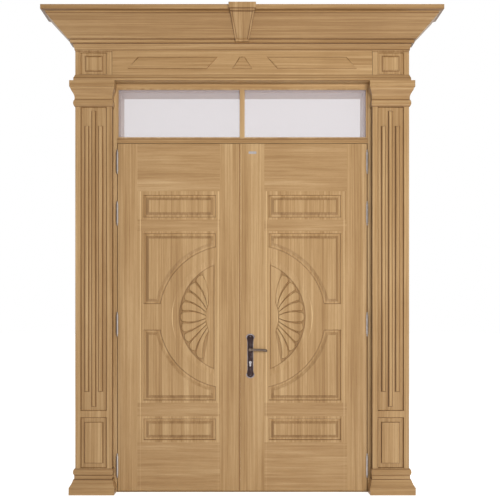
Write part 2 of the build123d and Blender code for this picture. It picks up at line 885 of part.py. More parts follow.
def fan_cut():
    """Hollow of the fan with a step at its foot, its raised petals left standing."""
    floor = front + relief_depth
    y_step = floor - fan_step
    slope = fan_bevel / (relief_depth - fan_step)
    steep = groove_wall_run / relief_depth
    x_mouth = fan_side_x - groove_wall_run - steep * over
    x_step = fan_side_x - steep * fan_step
    mouth = fan_outline(fan_radius + fan_bevel + slope * over, x_mouth, front - over)
    hollow = hopper(mouth, fan_outline(fan_radius, x_step, y_step))
    foot = fan_outline(fan_radius - fan_step_run, fan_side_x, floor)
    hollow += hopper(fan_outline(fan_radius, x_step, y_step), foot)
    step = 2 / petal_count
    spread = -petal_crown_inset * over / petal_height
    for index in range(petal_count):
        angles = (-1 + index * step, -1 + (index + 1) * step)
        foot = petal_outline(angles, petal_base_share, spread, floor + over)
        crown = petal_outline(angles, petal_crown_share, petal_crown_inset, floor - petal_height)
        hollow -= hopper(foot, crown)
    return hollow


def leaf_cuts():
    """All pressed work on the front of the right leaf."""
    cuts = [panel_cut(plain_panel(top_panel_share)), panel_cut(plain_panel(bottom_panel_share))]
    cuts += [panel_cut(quarter_panel(1)), panel_cut(quarter_panel(-1)), fan_cut()]
    return cuts


def front_pan(x_low, x_high):
    """Front skin of a leaf with its turned edges."""
    outer = block(x_low, x_high, front, back - skin, leaf_bottom, leaf_top)
    x_in, x_out = x_low + skin, x_high - skin
    return outer - block(x_in, x_out, front + leaf_wall, back, leaf_bottom + skin, leaf_top - skin)


def back_sheet(x_low, x_high):
    """Back skin of a leaf, let into the turned edges of the front."""
    sheet = block(x_low, x_high, back - skin, back, leaf_bottom, leaf_top)
    x_in, x_out = x_low + skin, x_high - skin
    return sheet + block(x_in, x_out, back - leaf_wall, back - skin, leaf_bottom + skin, leaf_top - skin)


def leaf_core(x_low, x_high):
    """Filling of a leaf."""
    x_in, x_out = x_low + skin, x_high - skin
    return block(x_in, x_out, front + leaf_wall, back - leaf_wall, leaf_bottom + skin, leaf_top - skin)


def hinge_zone(index):
    """Lower and upper end of one knuckle, measured from the middle of a hinge."""
    pitch = hinge_length / knuckle_count
    low = index * pitch - hinge_length / 2
    return low + knuckle_gap / 2, low + pitch - knuckle_gap / 2


def hinge_half(z_mid, fixed):
    """One half of a hinge on the right side, with every other knuckle."""
    x_low = rebate_x - hinge_plate if fixed else leaf_out
    x_high = rebate_x if fixed else leaf_out + hinge_plate
    y_start = front + hinge_plate_start
    y_end = y_start + hinge_plate_depth
    half = hinge_length / 2 - knuckle_gap / 2
    leaf = block(x_low, x_high, y_start, y_end, z_mid - half, z_mid + half)
    for index in range(0 if fixed else 1, knuckle_count, 2):
        low, high = hinge_zone(index)
        leaf += block(x_low, x_high, hinge_y, y_start, z_mid + low, z_mid + high)
        leaf += pillar(hinge_x, hinge_y, knuckle_radius, z_mid + low, z_mid + high)
    bore = pin_radius + pin_clearance
    return leaf - pillar(hinge_x, hinge_y, bore, z_mid - hinge_length, z_mid + hinge_length)


def hinge_pin(z_mid):
    """Hinge pin that stands out at both ends."""
    half = hinge_length / 2 + pin_tip
    return pillar(hinge_x, hinge_y, pin_radius, z_mid - half, z_mid + half)


def at_hinges(make):
    """The same hinge piece at every hinge of the right leaf."""
    return [make(leaf_zone(share)) for share in hinge_share]


def edge_plate(x_low, x_high, height, width, z_mid):
    """Flat plate on the edge of a leaf."""
    return block(x_low, x_high, -width / 2, width / 2, z_mid - height / 2, z_mid + height / 2)


def euro_bar(y_low, y_high, margin):
    """Lock cylinder body, round above and narrow below."""
    bar = rod(lever_x, cylinder_z, cylinder_radius + margin, y_low, y_high)
    half = cylinder_tail / 2 + margin
    foot = cylinder_z - cylinder_foot - margin
    return bar + block(lever_x - half, lever_x + half, y_low, y_high, foot, cylinder_z)


def lock_opening(half, y_low, y_high, z, drop):
    """Square-cut opening in a skin, hidden under the escutcheons."""
    return block(lever_x - half, lever_x + half, y_low, y_high, z - drop, z + half)


def latch_bar(margin, x_low, x_high):
    """Straight bar of the latch."""
    half, tall = latch_thickness / 2 + margin, latch_height / 2 + margin
    return block(x_low, x_high, -half, half, lever_height - tall, lever_height + tall)


def dead_bar(margin, x_low, x_high):
    """Straight bar of the deadbolt."""
    half, tall = bolt_thickness / 2 + margin, bolt_height / 2 + margin
    return block(x_low, x_high, -half, half, cylinder_z - tall, cylinder_z + tall)


def make_latch():
    """Latch bolt, its nose sloped towards the room side."""
    tip = right_edge - latch_reach
    bar = latch_bar(0, tip, tip + latch_length)
    half = latch_thickness / 2
    far = half + over
    slope = [(tip - over, -half), (tip - over, far), (right_edge, far), (right_edge, half), (tip, -half / 2)]
    return bar - post(slope, lever_height - latch_height, lever_height + latch_height)


def make_lock_case():
    """Lock case with channels for its bolts, spindle and cylinder."""
    x_low = right_edge + faceplate_thickness
    case = edge_plate(x_low, x_low + case_depth, case_height, case_width, lock_mid)
    tip = right_edge - latch_reach
    case -= latch_bar(bolt_clearance, right_edge, tip + latch_length + latch_travel + bolt_clearance)
    case -= dead_bar(bolt_clearance, right_edge, right_edge + bolt_length + bolt_clearance)
    case -= rod(lever_x, lever_height, spindle_hole_radius, -case_width, case_width)
    return case - euro_bar(-case_width, case_width, bolt_clearance)


def make_faceplate():
    """Lock faceplate on the edge of the right leaf."""
    x_high = right_edge + faceplate_thickness
    plate = edge_plate(right_edge, x_high, faceplate_height, faceplate_width, lock_mid)
    plate -= latch_bar(bolt_clearance, right_edge - over, x_high + over)
    return plate - dead_bar(bolt_clearance, right_edge - over, x_high + over)


def plate_outline(width_share, length_share, y):
    """Outline of an escutcheon plate with lobed ends."""
    half = plate_half * width_share
    end = plate_end_half * width_share
    tip = plate_length / 2 * length_share
    wide = tip - plate_lobe_length
    narrow = tip - plate_end_length
    mid_x, mid_z = (half + end) / 2 - (end - half) / 4, (wide + narrow) / 2

    def at(x, z):
        return (lever_x + x, y, lock_mid + z)

    corner_x = end * math.cos(math.pi / 4)
    corner_z = wide + plate_lobe_length * math.sin(math.pi / 4)
    arc = Edge.make_three_point_arc
    edges = []
    for side in (-1, 1):
        for up in (-1, 1):
            shoulder, neck = at(side * end, up * wide), at(side * half, up * narrow)
            edges.append(arc(at(0, up * tip), at(side * corner_x, up * corner_z), shoulder))
            edges.append(arc(shoulder, at(side * mid_x, up * mid_z), neck))
        edges.append(Edge.make_line(at(side * half, narrow), at(side * half, -narrow)))
    return Wire(edges)


def make_escutcheon():
    """Outer escutcheon plate with a raised middle."""
    y_base = front - plate_base
    plate = Part() + Solid.extrude(Face(plate_outline(1, 1, front)), (0, -plate_base, 0))
    raised = Face(plate_outline(plate_raise_share, plate_raise_length_share, y_base))
    plate += Solid.extrude(raised, (0, -plate_raise, 0))
    y_low = front - 2 * (plate_base + plate_raise)
    plate -= rod(lever_x, lever_height, neck_radius + neck_clearance, y_low, 0)
    return plate - euro_bar(y_low, 0, cylinder_clearance)


def make_lever():
    """Outer lever with its neck, pointing to the hinge side."""
    y_face = front - plate_base - plate_raise
    y_root = front - plate_base
    y_end = y_root - neck_length
    lever = rod(lever_x, lever_height, neck_radius, y_end - lever_root_half, y_root)
    lever += rod(lever_x, lever_height, rose_radius, y_face - rose_height, y_face - neck_clearance)
    stations = (
        (-lever_root_half, lever_root_half, 0),
        (lever_length * lever_bend_shares[0], lever_mid_half, 0),
        (lever_length * lever_bend_shares[1], lever_mid_half, lever_drop * lever_sag_share),
        (lever_length, lever_tip_half, lever_drop),
    )
    rings = []
    for along, half, drop in stations:
        points = []
        for index in range(lever_sides):
            turn = 2 * math.pi * index / lever_sides
            y = y_end + half * lever_depth_share * math.cos(turn)
            points.append((lever_x + along, y, lever_height - drop + half * math.sin(turn)))
        rings.append(Wire.make_polygon(points))
    lever += Solid.make_loft(rings, True)
    half = spindle_side / 2
    socket = block(lever_x - half, lever_x + half, spindle_end, 0, lever_height - half, lever_height + half)
    return lever - socket


def make_thumb_turn():
    """Thumb turn on the room side of the cylinder."""
    y_face = back + plate_base + plate_raise + cylinder_proud
    turn = rod(lever_x, cylinder_z, turn_radius, y_face + turn_gap, y_face + turn_height)
    half, tall = turn_wing_width / 2, turn_wing_length / 2
    y_ends = (y_face + turn_gap, y_face + turn_height + turn_wing_height)
    turn += block(lever_x - half, lever_x + half, *y_ends, cylinder_z - tall, cylinder_z + tall)
    return turn + rod(lever_x, cylinder_z, plug_radius, y_face - plug_depth + turn_gap, y_face + turn_height)


def make_cylinder():
    """Lock cylinder with a keyway outside and the bore of the thumb turn inside."""
    reach = back + plate_base + plate_raise + cylinder_proud
    bar = euro_bar(-reach, reach, 0)
    half, tall = keyway_width / 2, keyway_height / 2
    ends = (cylinder_z - tall, cylinder_z + tall)
    bar -= block(lever_x - half, lever_x + half, -reach - over, keyway_depth - reach, *ends)
    return bar - rod(lever_x, cylinder_z, plug_radius + plug_clearance, reach - plug_depth, reach + over)


def make_strike():
    """Strike plate on the edge of the left leaf."""
    x_low = left_edge - faceplate_thickness
    plate = edge_plate(x_low, left_edge, faceplate_height, faceplate_width, lock_mid)
    plate -= latch_bar(strike_margin, x_low - over, left_edge + over)
    return plate - dead_bar(strike_margin, x_low - over, left_edge + over)


def flush_level(side):
    """Outer end of a flush bolt rod at rest: top of the leaf for 1, foot for -1."""
    return leaf_top - flush_end_gap if side > 0 else leaf_bottom + flush_end_gap


def flush_mid(side):
    """Middle height of a flush bolt plate."""
    inward = flush_plate_offset + flush_plate_height / 2
    return flush_level(side) - side * inward


def slide_mid(side):
    """Middle height of a flush bolt slide at rest."""
    return flush_mid(side) - side * flush_throw / 2


def span(a, b):
    """Two heights in rising order."""
    return min(a, b), max(a, b)


def make_flush_plate(side):
    """Flush bolt plate with the slot of its slide."""
    z_mid = flush_mid(side)
    x_low = left_edge - flush_plate_thickness
    plate = edge_plate(x_low, left_edge, flush_plate_height, flush_plate_width, z_mid)
    slot_height = flush_slide_height + flush_throw + 2 * flush_slot_margin
    slot_width = flush_slide_width + 2 * flush_slot_margin
    return plate - edge_plate(x_low - over, left_edge + over, slot_height, slot_width, z_mid)


def make_flush_rod(side):
    """Flush bolt rod with its slide."""
    low, high = span(slide_mid(side), flush_level(side))
    bar = pillar(rod_x, 0, flush_rod_radius, low, high)
    x_high = left_edge - flush_slot_margin
    return bar + edge_plate(rod_x, x_high, flush_slide_height, flush_slide_width, slide_mid(side))


def flush_channel_cut(side):
    """Channel in the core for a flush bolt."""
    half = flush_channel / 2
    inner = flush_mid(side) - side * flush_plate_height / 2
    low, high = span(inner, flush_level(side) + side * 2 * flush_end_gap)
    return block(rod_x - half, left_edge + over, -flush_plate_width / 2, flush_plate_width / 2, low, high)


def make_meeting_seal():
    """Seal along the meeting edge of the left leaf."""
    y_low = front + meeting_seal_inset
    y_high = y_low + meeting_seal_width
    return block(left_edge, left_edge + meeting_seal_thickness, y_low, y_high, leaf_bottom, leaf_top)


def export(name, shape):
    """Write one node, from one solid or from a group of like solids."""
    if isinstance(shape, list):
        shape = Compound([solid for item in shape for solid in item.solids()])
    export_step(shape, os.path.join("parts", name + ".step"))


rod_x = left_edge - flush_rod_inset
spindle_end = front - plate_base - neck_length / 2

os.makedirs("parts", exist_ok=True)

# Frame and surround
jamb = make_jamb()
export("right_jamb", jamb)
export("left_jamb", mirrored(jamb))
export("frame_head", make_head())
export("transom_bar", make_bar())
export("transom_mullion", make_mullion())
export("threshold", make_threshold())
glass = make_glass()
export("right_glass", glass)
export("left_glass", mirrored(glass))
beads = make_beads()
export("right_glazing_beads", beads)
export("left_glazing_beads", [mirrored(bead) for bead in beads])
export("frame_gasket", make_gasket())
straps = make_straps()
export("right_wall_straps", straps)
export("left_wall_straps", [mirrored(strap) for strap in straps])
pilaster = make_pilaster()
export("right_pilaster", pilaster)
export("left_pilaster", mirrored(pilaster))
plinth = make_plinth()
export("right_plinth", plinth)
export("left_plinth", mirrored(plinth))
capital = make_capital()
export("right_capital", capital)
export("left_capital", mirrored(capital))
corner = make_corner_block()
export("right_corner_block", corner)
export("left_corner_block", mirrored(corner))
export("frieze_panel", make_frieze())
export("foot_moulding", make_foot_moulding())
cornice_run, cornice_return = make_cornice()
export("cornice_front", cornice_run)
export("right_cornice_return", cornice_return)
export("left_cornice_return", mirrored(cornice_return))
export("keystone", make_keystone())

# Hinges
fixed_halves = at_hinges(lambda z: hinge_half(z, True))
moving_halves = at_hinges(lambda z: hinge_half(z, False))
pins = at_hinges(hinge_pin)
export("right_hinge_frame_halves", fixed_halves)
export("left_hinge_frame_halves", [mirrored(half) for half in fixed_halves])
export("right_hinge_leaf_halves", moving_halves)
export("left_hinge_leaf_halves", [mirrored(half) for half in moving_halves])
export("right_hinge_pins", pins)
export("left_hinge_pins", [mirrored(pin) for pin in pins])

# Right leaf
cuts = leaf_cuts()
back_cuts = [mirror(cut, Plane.XZ) for cut in cuts]
through = (front - over, back + over)
spindle_hole = lock_opening(spindle_hole_radius, *through, lever_height, spindle_hole_radius)
cylinder_hole_half = cylinder_radius + cylinder_clearance
cylinder_hole_foot = cylinder_foot + cylinder_clearance
cylinder_hole = lock_opening(cylinder_hole_half, *through, cylinder_z, cylinder_hole_foot)
face_x = right_edge + faceplate_thickness
face_hole = edge_plate(right_edge - over, face_x, faceplate_height, faceplate_width, lock_mid)
case_end = face_x + case_depth + case_clearance
case_hole_height = case_height + 2 * case_clearance
case_hole = edge_plate(right_edge, case_end, case_hole_height, case_width + 2 * case_clearance, lock_mid)
right_front = front_pan(right_edge, leaf_out) - cuts - spindle_hole - cylinder_hole - face_hole
right_back = back_sheet(right_edge, leaf_out) - back_cuts - spindle_hole - cylinder_hole
export("right_front_skin", right_front)
export("right_back_skin", right_back)
export("right_core", leaf_core(right_edge, leaf_out) - case_hole - face_hole - spindle_hole - cylinder_hole)
export("lock_case", make_lock_case())
export("lock_faceplate", make_faceplate())
export("lock_cylinder", make_cylinder())
escutcheon = make_escutcheon()
export("outer_escutcheon", escutcheon)
export("inner_escutcheon", mirror(escutcheon, Plane.XZ))
lever = make_lever()
export("outer_lever", lever)
export("inner_lever", mirror(lever, Plane.XZ))
half_spindle = spindle_side / 2
spindle_z = (lever_height - half_spindle, lever_height + half_spindle)
spindle_x = (lever_x - half_spindle, lever_x + half_spindle)
export("spindle", block(*spindle_x, spindle_end, -spindle_end, *spindle_z))
export("latch_bolt", make_latch())
export("deadbolt", dead_bar(0, right_edge + bolt_clearance, right_edge + bolt_length))
export("thumb_turn", make_thumb_turn())

# Left leaf
left_cuts = [mirrored(cut) for cut in cuts]
left_back_cuts = [mirrored(cut) for cut in back_cuts]
strike_x = left_edge - faceplate_thickness
strike_hole = edge_plate(strike_x, left_edge + over, faceplate_height, faceplate_width, lock_mid)
strike_hollow = latch_bar(strike_margin, left_edge - strike_pocket, left_edge)
strike_hollow += dead_bar(strike_margin, left_edge - strike_pocket, left_edge)
left_front = front_pan(-leaf_out, left_edge) - left_cuts - strike_hole
left_filling = leaf_core(-leaf_out, left_edge) - strike_hole - strike_hollow
for side in (-1, 1):
    x_low = left_edge - flush_plate_thickness
    left_front -= edge_plate(x_low, left_edge + over, flush_plate_height, flush_plate_width, flush_mid(side))
    ends = span(flush_level(side) - side * 2 * skin, flush_level(side) + side * 2 * flush_end_gap)
    left_front -= pillar(rod_x, 0, flush_rod_radius + flush_rod_clearance, *ends)
    left_filling -= flush_channel_cut(side)
export("left_front_skin", left_front)
export("left_back_skin", back_sheet(-leaf_out, left_edge) - left_back_cuts)
export("left_core", left_filling)
export("strike_plate", make_strike())
export("top_flush_plate", make_flush_plate(1))
export("bottom_flush_plate", make_flush_plate(-1))
export("top_flush_bolt", make_flush_rod(1))
export("bottom_flush_bolt", make_flush_rod(-1))
export("meeting_seal", make_meeting_seal())
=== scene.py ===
"""Dresses the wood-grain double door: printed steel, glass, hardware, studio and camera."""

from __future__ import annotations

import json
import logging
import math
import operator
from dataclasses import dataclass, field
from enum import Enum
from functools import reduce
from typing import Any, Iterable, Sequence

import bmesh
import bpy
from mathutils import Color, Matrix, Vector

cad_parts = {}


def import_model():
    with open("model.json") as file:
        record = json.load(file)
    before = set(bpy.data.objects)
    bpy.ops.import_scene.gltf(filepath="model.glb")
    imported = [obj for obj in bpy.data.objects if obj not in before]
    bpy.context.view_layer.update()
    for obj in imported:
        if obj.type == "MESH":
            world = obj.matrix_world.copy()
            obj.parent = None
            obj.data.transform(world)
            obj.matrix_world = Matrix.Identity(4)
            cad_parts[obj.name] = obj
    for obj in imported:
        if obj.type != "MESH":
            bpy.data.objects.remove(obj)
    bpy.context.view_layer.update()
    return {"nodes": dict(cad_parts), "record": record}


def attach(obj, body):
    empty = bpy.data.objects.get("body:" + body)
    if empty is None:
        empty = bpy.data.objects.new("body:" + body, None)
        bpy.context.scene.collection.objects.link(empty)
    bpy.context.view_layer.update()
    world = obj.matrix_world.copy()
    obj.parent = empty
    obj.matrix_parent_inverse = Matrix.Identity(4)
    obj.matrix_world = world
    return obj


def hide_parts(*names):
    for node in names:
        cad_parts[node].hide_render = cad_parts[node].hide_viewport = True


LOG = logging.getLogger("door")
MM = 0.001
SWATCH_MAX = 255
NOISE_MIDDLE = 0.5

# Distance of a leaf's faces from its middle, in millimetres.
LEAF_FACE = 25.0

# Sockets of a Mix node that is set to colours.
MIX_FACTOR, MIX_FIRST, MIX_SECOND, MIX_RESULT = 0, 6, 7, 2

Colour = tuple[float, float, float, float]
Stops = tuple[tuple[float, Colour], ...]
Point = tuple[float, float, float]
Span = tuple[float, float]

WHITE: Colour = (1.0, 1.0, 1.0, 1.0)


def swatch(red: int, green: int, blue: int) -> Colour:
    """Linear colour of a swatch.

    Args:
        red: Red of the swatch, 0 to 255.
        green: Green of the swatch, 0 to 255.
        blue: Blue of the swatch, 0 to 255.

    Returns:
        The linear colour with full alpha.
    """
    shares = Color((red / SWATCH_MAX, green / SWATCH_MAX, blue / SWATCH_MAX))
    return (*shares.from_srgb_to_scene_linear(), 1.0)


def circle(radius: float, steps: int) -> list[Span]:
    """Points of a circle about the origin."""
    turns = [2 * math.pi * step / steps for step in range(steps)]
    return [(radius * math.cos(turn), radius * math.sin(turn)) for turn in turns]


def put(name: str, data: bpy.types.ID) -> bpy.types.Object:
    """Makes an object at the origin and links it to the scene.

    Args:
        name: Name of the object.
        data: Its mesh, lamp or camera.

    Returns:
        The object.
    """
    made = bpy.data.objects.new(name, data)
    bpy.context.scene.collection.objects.link(made)
    return made


class Signal:
    """An output socket of a node that takes part in Python arithmetic."""

    def __init__(self, bench: Bench, socket: bpy.types.NodeSocket) -> None:
        """Wraps a socket of a bench."""
        self.bench = bench
        self.socket = socket

    def _math(self, operation: str, first: Any, second: Any = 0.0) -> Signal:
        """Adds one Math node."""
        return self.bench.signal("ShaderNodeMath", {"operation": operation}, {0: first, 1: second})

    def __add__(self, other: Any) -> Signal:
        """Sum."""
        return self._math("ADD", self, other)

    __radd__ = __add__

    def __sub__(self, other: Any) -> Signal:
        """Difference."""
        return self._math("SUBTRACT", self, other)

    def __rsub__(self, other: Any) -> Signal:
        """Difference with a number on the left."""
        return self._math("SUBTRACT", other, self)

    def __mul__(self, other: Any) -> Signal:
        """Product."""
        return self._math("MULTIPLY", self, other)

    __rmul__ = __mul__

    def __neg__(self) -> Signal:
        """Same size with the other sign."""
        return self._math("MULTIPLY", self, -1.0)

    def __abs__(self) -> Signal:
        """Size without sign."""
        return self._math("ABSOLUTE", self)

    def __gt__(self, edge: Any) -> Signal:
        """One where the signal is above the edge."""
        return self._math("GREATER_THAN", self, edge)

    def __lt__(self, edge: Any) -> Signal:
        """One where the signal is below the edge."""
        return self._math("LESS_THAN", self, edge)

    def __or__(self, other: Signal) -> Signal:
        """The larger of two masks."""
        return self._math("MAXIMUM", self, other)

    def rise(self, low: float, high: float) -> Signal:
        """Smooth step from 0 at low to 1 at high."""
        inputs = {"Value": self, "From Min": low, "From Max": high}
        return self.bench.signal("ShaderNodeMapRange", {"interpolation_type": "SMOOTHSTEP"}, inputs)

    def inside(self, low: float, high: float) -> Signal:
        """One between low and high."""
        return (self > low) * (self < high)

    def near(self, level: float, half: float) -> Signal:
        """One within a half width of a level."""
        return abs(self - level) < half

    def reach(self, other: Signal) -> Signal:
        """Distance from the origin of two signals at right angles."""
        return self._math("SQRT", self * self + other * other)


def any_of(masks: Iterable[Signal]) -> Signal:
    """One where any of the masks is one."""
    return reduce(operator.or_, masks)


@dataclass(frozen=True)
class Layer:
    """One noise of a finish: cycles per metre along each axis, octaves and weights."""

    rates: Point
    octaves: float
    rough: float = 0.5
    weight: float = 1.0


CAST_BRUSH = Layer((260.0, 260.0, 220.0), 2.0, weight=0.2)
DRAWN_BRUSH = Layer((700.0, 700.0, 12.0), 2.0, weight=0.2)


class Bench:
    """Node tree that is filled a node at a time."""

    def __init__(self, tree: bpy.types.NodeTree) -> None:
        """Clears the tree of a material, a world or a modifier."""
        self.tree = tree
        self.tree.nodes.clear()

    def node(self, kind: str, settings: dict | None = None, inputs: dict | None = None) -> bpy.types.Node:
        """Adds a node.

        Args:
            kind: Type of the node.
            settings: Attributes that are set first; "stops" fills a colour ramp.
            inputs: Values or signals for its sockets, by name or number.

        Returns:
            The node.
        """
        made = self.tree.nodes.new(kind)
        for key, value in (settings or {}).items():
            if key == "stops":
                self._fill_ramp(made.color_ramp, value)
            else:
                setattr(made, key, value)
        for key, value in (inputs or {}).items():
            if isinstance(value, Signal):
                self.tree.links.new(value.socket, made.inputs[key])
            else:
                made.inputs[key].default_value = value
        return made

    def signal(
        self, kind: str, settings: dict | None = None, inputs: dict | None = None, out: int | str = 0
    ) -> Signal:
        """Adds a node and wraps one of its outputs."""
        return Signal(self, self.node(kind, settings, inputs).outputs[out])

    def pick(self, node: bpy.types.Node, *outputs: str) -> tuple[Signal, ...]:
        """Wraps outputs of a node by their names."""
        return tuple(Signal(self, node.outputs[name]) for name in outputs)

    @staticmethod
    def _fill_ramp(ramp: bpy.types.ColorRamp, stops: Stops) -> None:
        """Gives a ramp its stops.

        Args:
            ramp: Ramp of a new node, with two stops.
            stops: Place and colour of each stop.
        """
        while len(ramp.elements) < len(stops):
            ramp.elements.new(1.0)
        for element, (place, colour) in zip(ramp.elements, stops):
            element.position = place
            element.color = colour

    def point(self) -> Signal:
        """A surface point in the object's frame, in metres."""
        return self.signal("ShaderNodeTexCoord", out="Object")

    def place(self) -> tuple[Signal, ...]:
        """X, Y and Z of a surface point."""
        return self.pick(self.node("ShaderNodeSeparateXYZ", inputs={0: self.point()}), "X", "Y", "Z")

    def noise(self, place: Sequence[Signal], layer: Layer) -> Signal:
        """Noise that is stretched along each axis.

        Args:
            place: X, Y and Z signals.
            layer: Rates and octaves.

        Returns:
            Noise round one half.
        """
        scaled = {axis: part * rate for axis, part, rate in zip("XYZ", place, layer.rates)}
        spot = self.signal("ShaderNodeCombineXYZ", inputs=scaled)
        inputs = {"Vector": spot, "Scale": 1.0, "Detail": layer.octaves, "Roughness": layer.rough}
        return self.signal("ShaderNodeTexNoise", {"noise_dimensions": "3D"}, inputs)

    def ramp(self, share: Signal, stops: Stops) -> Signal:
        """Colour at a share of the way along some stops."""
        return self.signal("ShaderNodeValToRGB", {"stops": stops}, {0: share})

    def blend(self, factor: Signal, first: Any, second: Colour, way: str = "MIX") -> Signal:
        """Mix of two colours.

        Args:
            factor: Share of the second colour.
            first: Colour under it, or its signal.
            second: Colour that is mixed in.
            way: How the two are mixed.

        Returns:
            The mixed colour.
        """
        settings = {"data_type": "RGBA", "blend_type": way, "clamp_factor": True}
        inputs = {MIX_FACTOR: factor, MIX_FIRST: first, MIX_SECOND: second}
        return self.signal("ShaderNodeMix", settings, inputs, MIX_RESULT)

    def shade(self, factor: Signal, colour: Signal, tint: Colour) -> Signal:
        """Colour multiplied by a tint where the factor is one."""
        return self.blend(factor, colour, tint, "MULTIPLY")

    def bump(self, height: Signal, strength: float, distance: float) -> Signal:
        """Surface direction from a height."""
        inputs = {"Strength": strength, "Distance": distance, "Height": height}
        return self.signal("ShaderNodeBump", inputs=inputs)

    def seen(self) -> Signal:
        """One for rays that show the room: from the eye, off metal and through glass."""
        path = self.node("ShaderNodeLightPath")
        return any_of(self.pick(path, "Is Camera Ray", "Is Glossy Ray", "Is Transmission Ray"))

    def surface(self, inputs: dict) -> None:
        """Ends the tree in a Principled shader."""
        shader = self.signal("ShaderNodeBsdfPrincipled", inputs=inputs)
        self.node("ShaderNodeOutputMaterial", inputs={"Surface": shader})


class Finish:
    """A named material; each kind of finish fills its node tree."""

    name: str

    def build(self) -> bpy.types.Material:
        """Makes the material.

        Returns:
            The finished material.
        """
        material = bpy.data.materials.new(self.name)
        material.use_nodes = True
        self.fill(Bench(material.node_tree))
        return material

    def fill(self, bench: Bench) -> None:
        """Fills the node tree."""
        raise NotImplementedError


class Grain(Enum):
    """Which way the printed grain runs on a piece."""

    UPRIGHT = "upright"
    LEVEL = "level"
    DEEP = "deep"
    LEAF = "leaf"


@dataclass(frozen=True)
class LeafPrint:
    """Boards and joints printed on a leaf, and where its painted shade and painted highlight go, in
    metres; paces and leans are ratios.
    """

    middle: Span = (0.142, 0.671)
    joint_lines: Span = (0.1535, 0.652)
    line_half: float = 0.0021
    line_top: float = 1.925
    line_fade: Span = (0.25, 0.7)
    rails: tuple[Span, ...] = ((0.0, 0.318), (0.485, 0.572), (1.67, 1.744), (1.925, 2.3))
    middle_board: float = 2.0
    board_step: float = 3.7
    rail_pace: float = 2.6
    face_y: float = LEAF_FACE * MM
    # Places of the painted shade on slopes, grooves and dark lines, and of the painted highlight along the
    # fan's edge.
    panel: Span = (0.168, 0.633)
    slope_start: Span = (0.0014, 0.0028)
    slope_end: Span = (0.0086, 0.0096)
    groove: Span = (0.00344, 0.0096)
    fan_x: float = 0.045
    fan_z: float = 1.121
    fan_radius: float = 0.403
    fan_span: float = 0.17
    fan_foot: float = 0.3606
    hub_x: float = -0.019
    hub_radius: float = 0.249
    petal_side: float = 0.193
    petal_lean: float = 0.19
    chord_x: float = 0.1805
    chord_half: float = 0.332
    foot_arc: float = 0.359
    dark_half: float = 0.0026
    ring_x: float = 0.075
    ring_radius: float = 0.4575
    ring_band: float = 0.045
    belt_half: float = 0.0845
    belt: Span = (0.522, 0.633)
    sills: tuple[float, ...] = (0.3345, 0.588, 1.7595)


@dataclass(frozen=True)
class LeafSpot:
    """A surface point of a leaf: its places and its distance from the middle of the fan."""

    side: Signal
    z: Signal
    sink: Signal
    above: Signal
    reach: Signal


@dataclass(frozen=True)
class TaperShade:
    """Painted shade lines along the sloping sides of the keystone and its sunk panel, in metres; the flare
    is a ratio.
    """

    foot_half: float = 0.042
    flare: float = 0.225
    border: float = 0.0125
    line_half: float = 0.0024
    span: Span = (2.851, 3.011)
    panel_span: Span = (2.863, 2.999)

    def mask(self, x: Signal, z: Signal) -> Signal:
        """One on the edges of the stone and of its sunk panel.

        Args:
            x: Place across the door.
            z: Height.

        Returns:
            The mask.
        """
        inward = (z - self.span[0]) * self.flare + self.foot_half - abs(x)
        edge = inward.near(0.0, self.line_half) * z.inside(*self.span)
        return edge | inward.near(self.border, self.line_half) * z.inside(*self.panel_span)


@dataclass(frozen=True)
class RibShade:
    """Painted shade beside the ribs, recess edges and pedestal field of a pilaster, in metres."""

    centre: float = 0.9395
    inner_x: float = 0.8243
    pitch: float = 0.044
    rib: Span = (0.009, 0.0166)
    edge: Span = (0.0765, 0.0835)
    field_edge: Span = (0.055, 0.0615)
    middle_span: Span = (0.552, 2.425)
    side_span: Span = (0.647, 2.33)
    shaft_span: Span = (0.527, 2.45)
    pedestal_span: Span = (0.165, 0.487)
    field_span: Span = (0.195, 0.457)
    # One-sided, it is a painted shadow: rib lines only on the sides towards the doorway, the recess line
    # only on the outer edge.
    both_sides: bool = True

    def mask(self, x: Signal, z: Signal) -> Signal:
        """One where the painted shade goes, seen from the front.

        Args:
            x: Place across the door.
            z: Height.

        Returns:
            The mask.
        """
        offset = abs(x) - self.centre
        recess = z.inside(*self.shaft_span) | z.inside(*self.pedestal_span)
        lines = [
            (abs(offset) if self.both_sides else offset).inside(*self.edge) * recess,
            self._beside(offset, self.field_edge) * z.inside(*self.field_span),
            self._beside(offset, self.rib) * z.inside(*self.middle_span),
        ]
        for pitch in (self.pitch, -self.pitch):
            lines.append(self._beside(offset - pitch, self.rib) * z.inside(*self.side_span))
        return any_of(lines)

    def _beside(self, offset: Signal, strip: Span) -> Signal:
        """One on a strip along a rib, on both sides of it or towards the doorway alone."""
        return (abs(offset) if self.both_sides else -offset).inside(*strip)


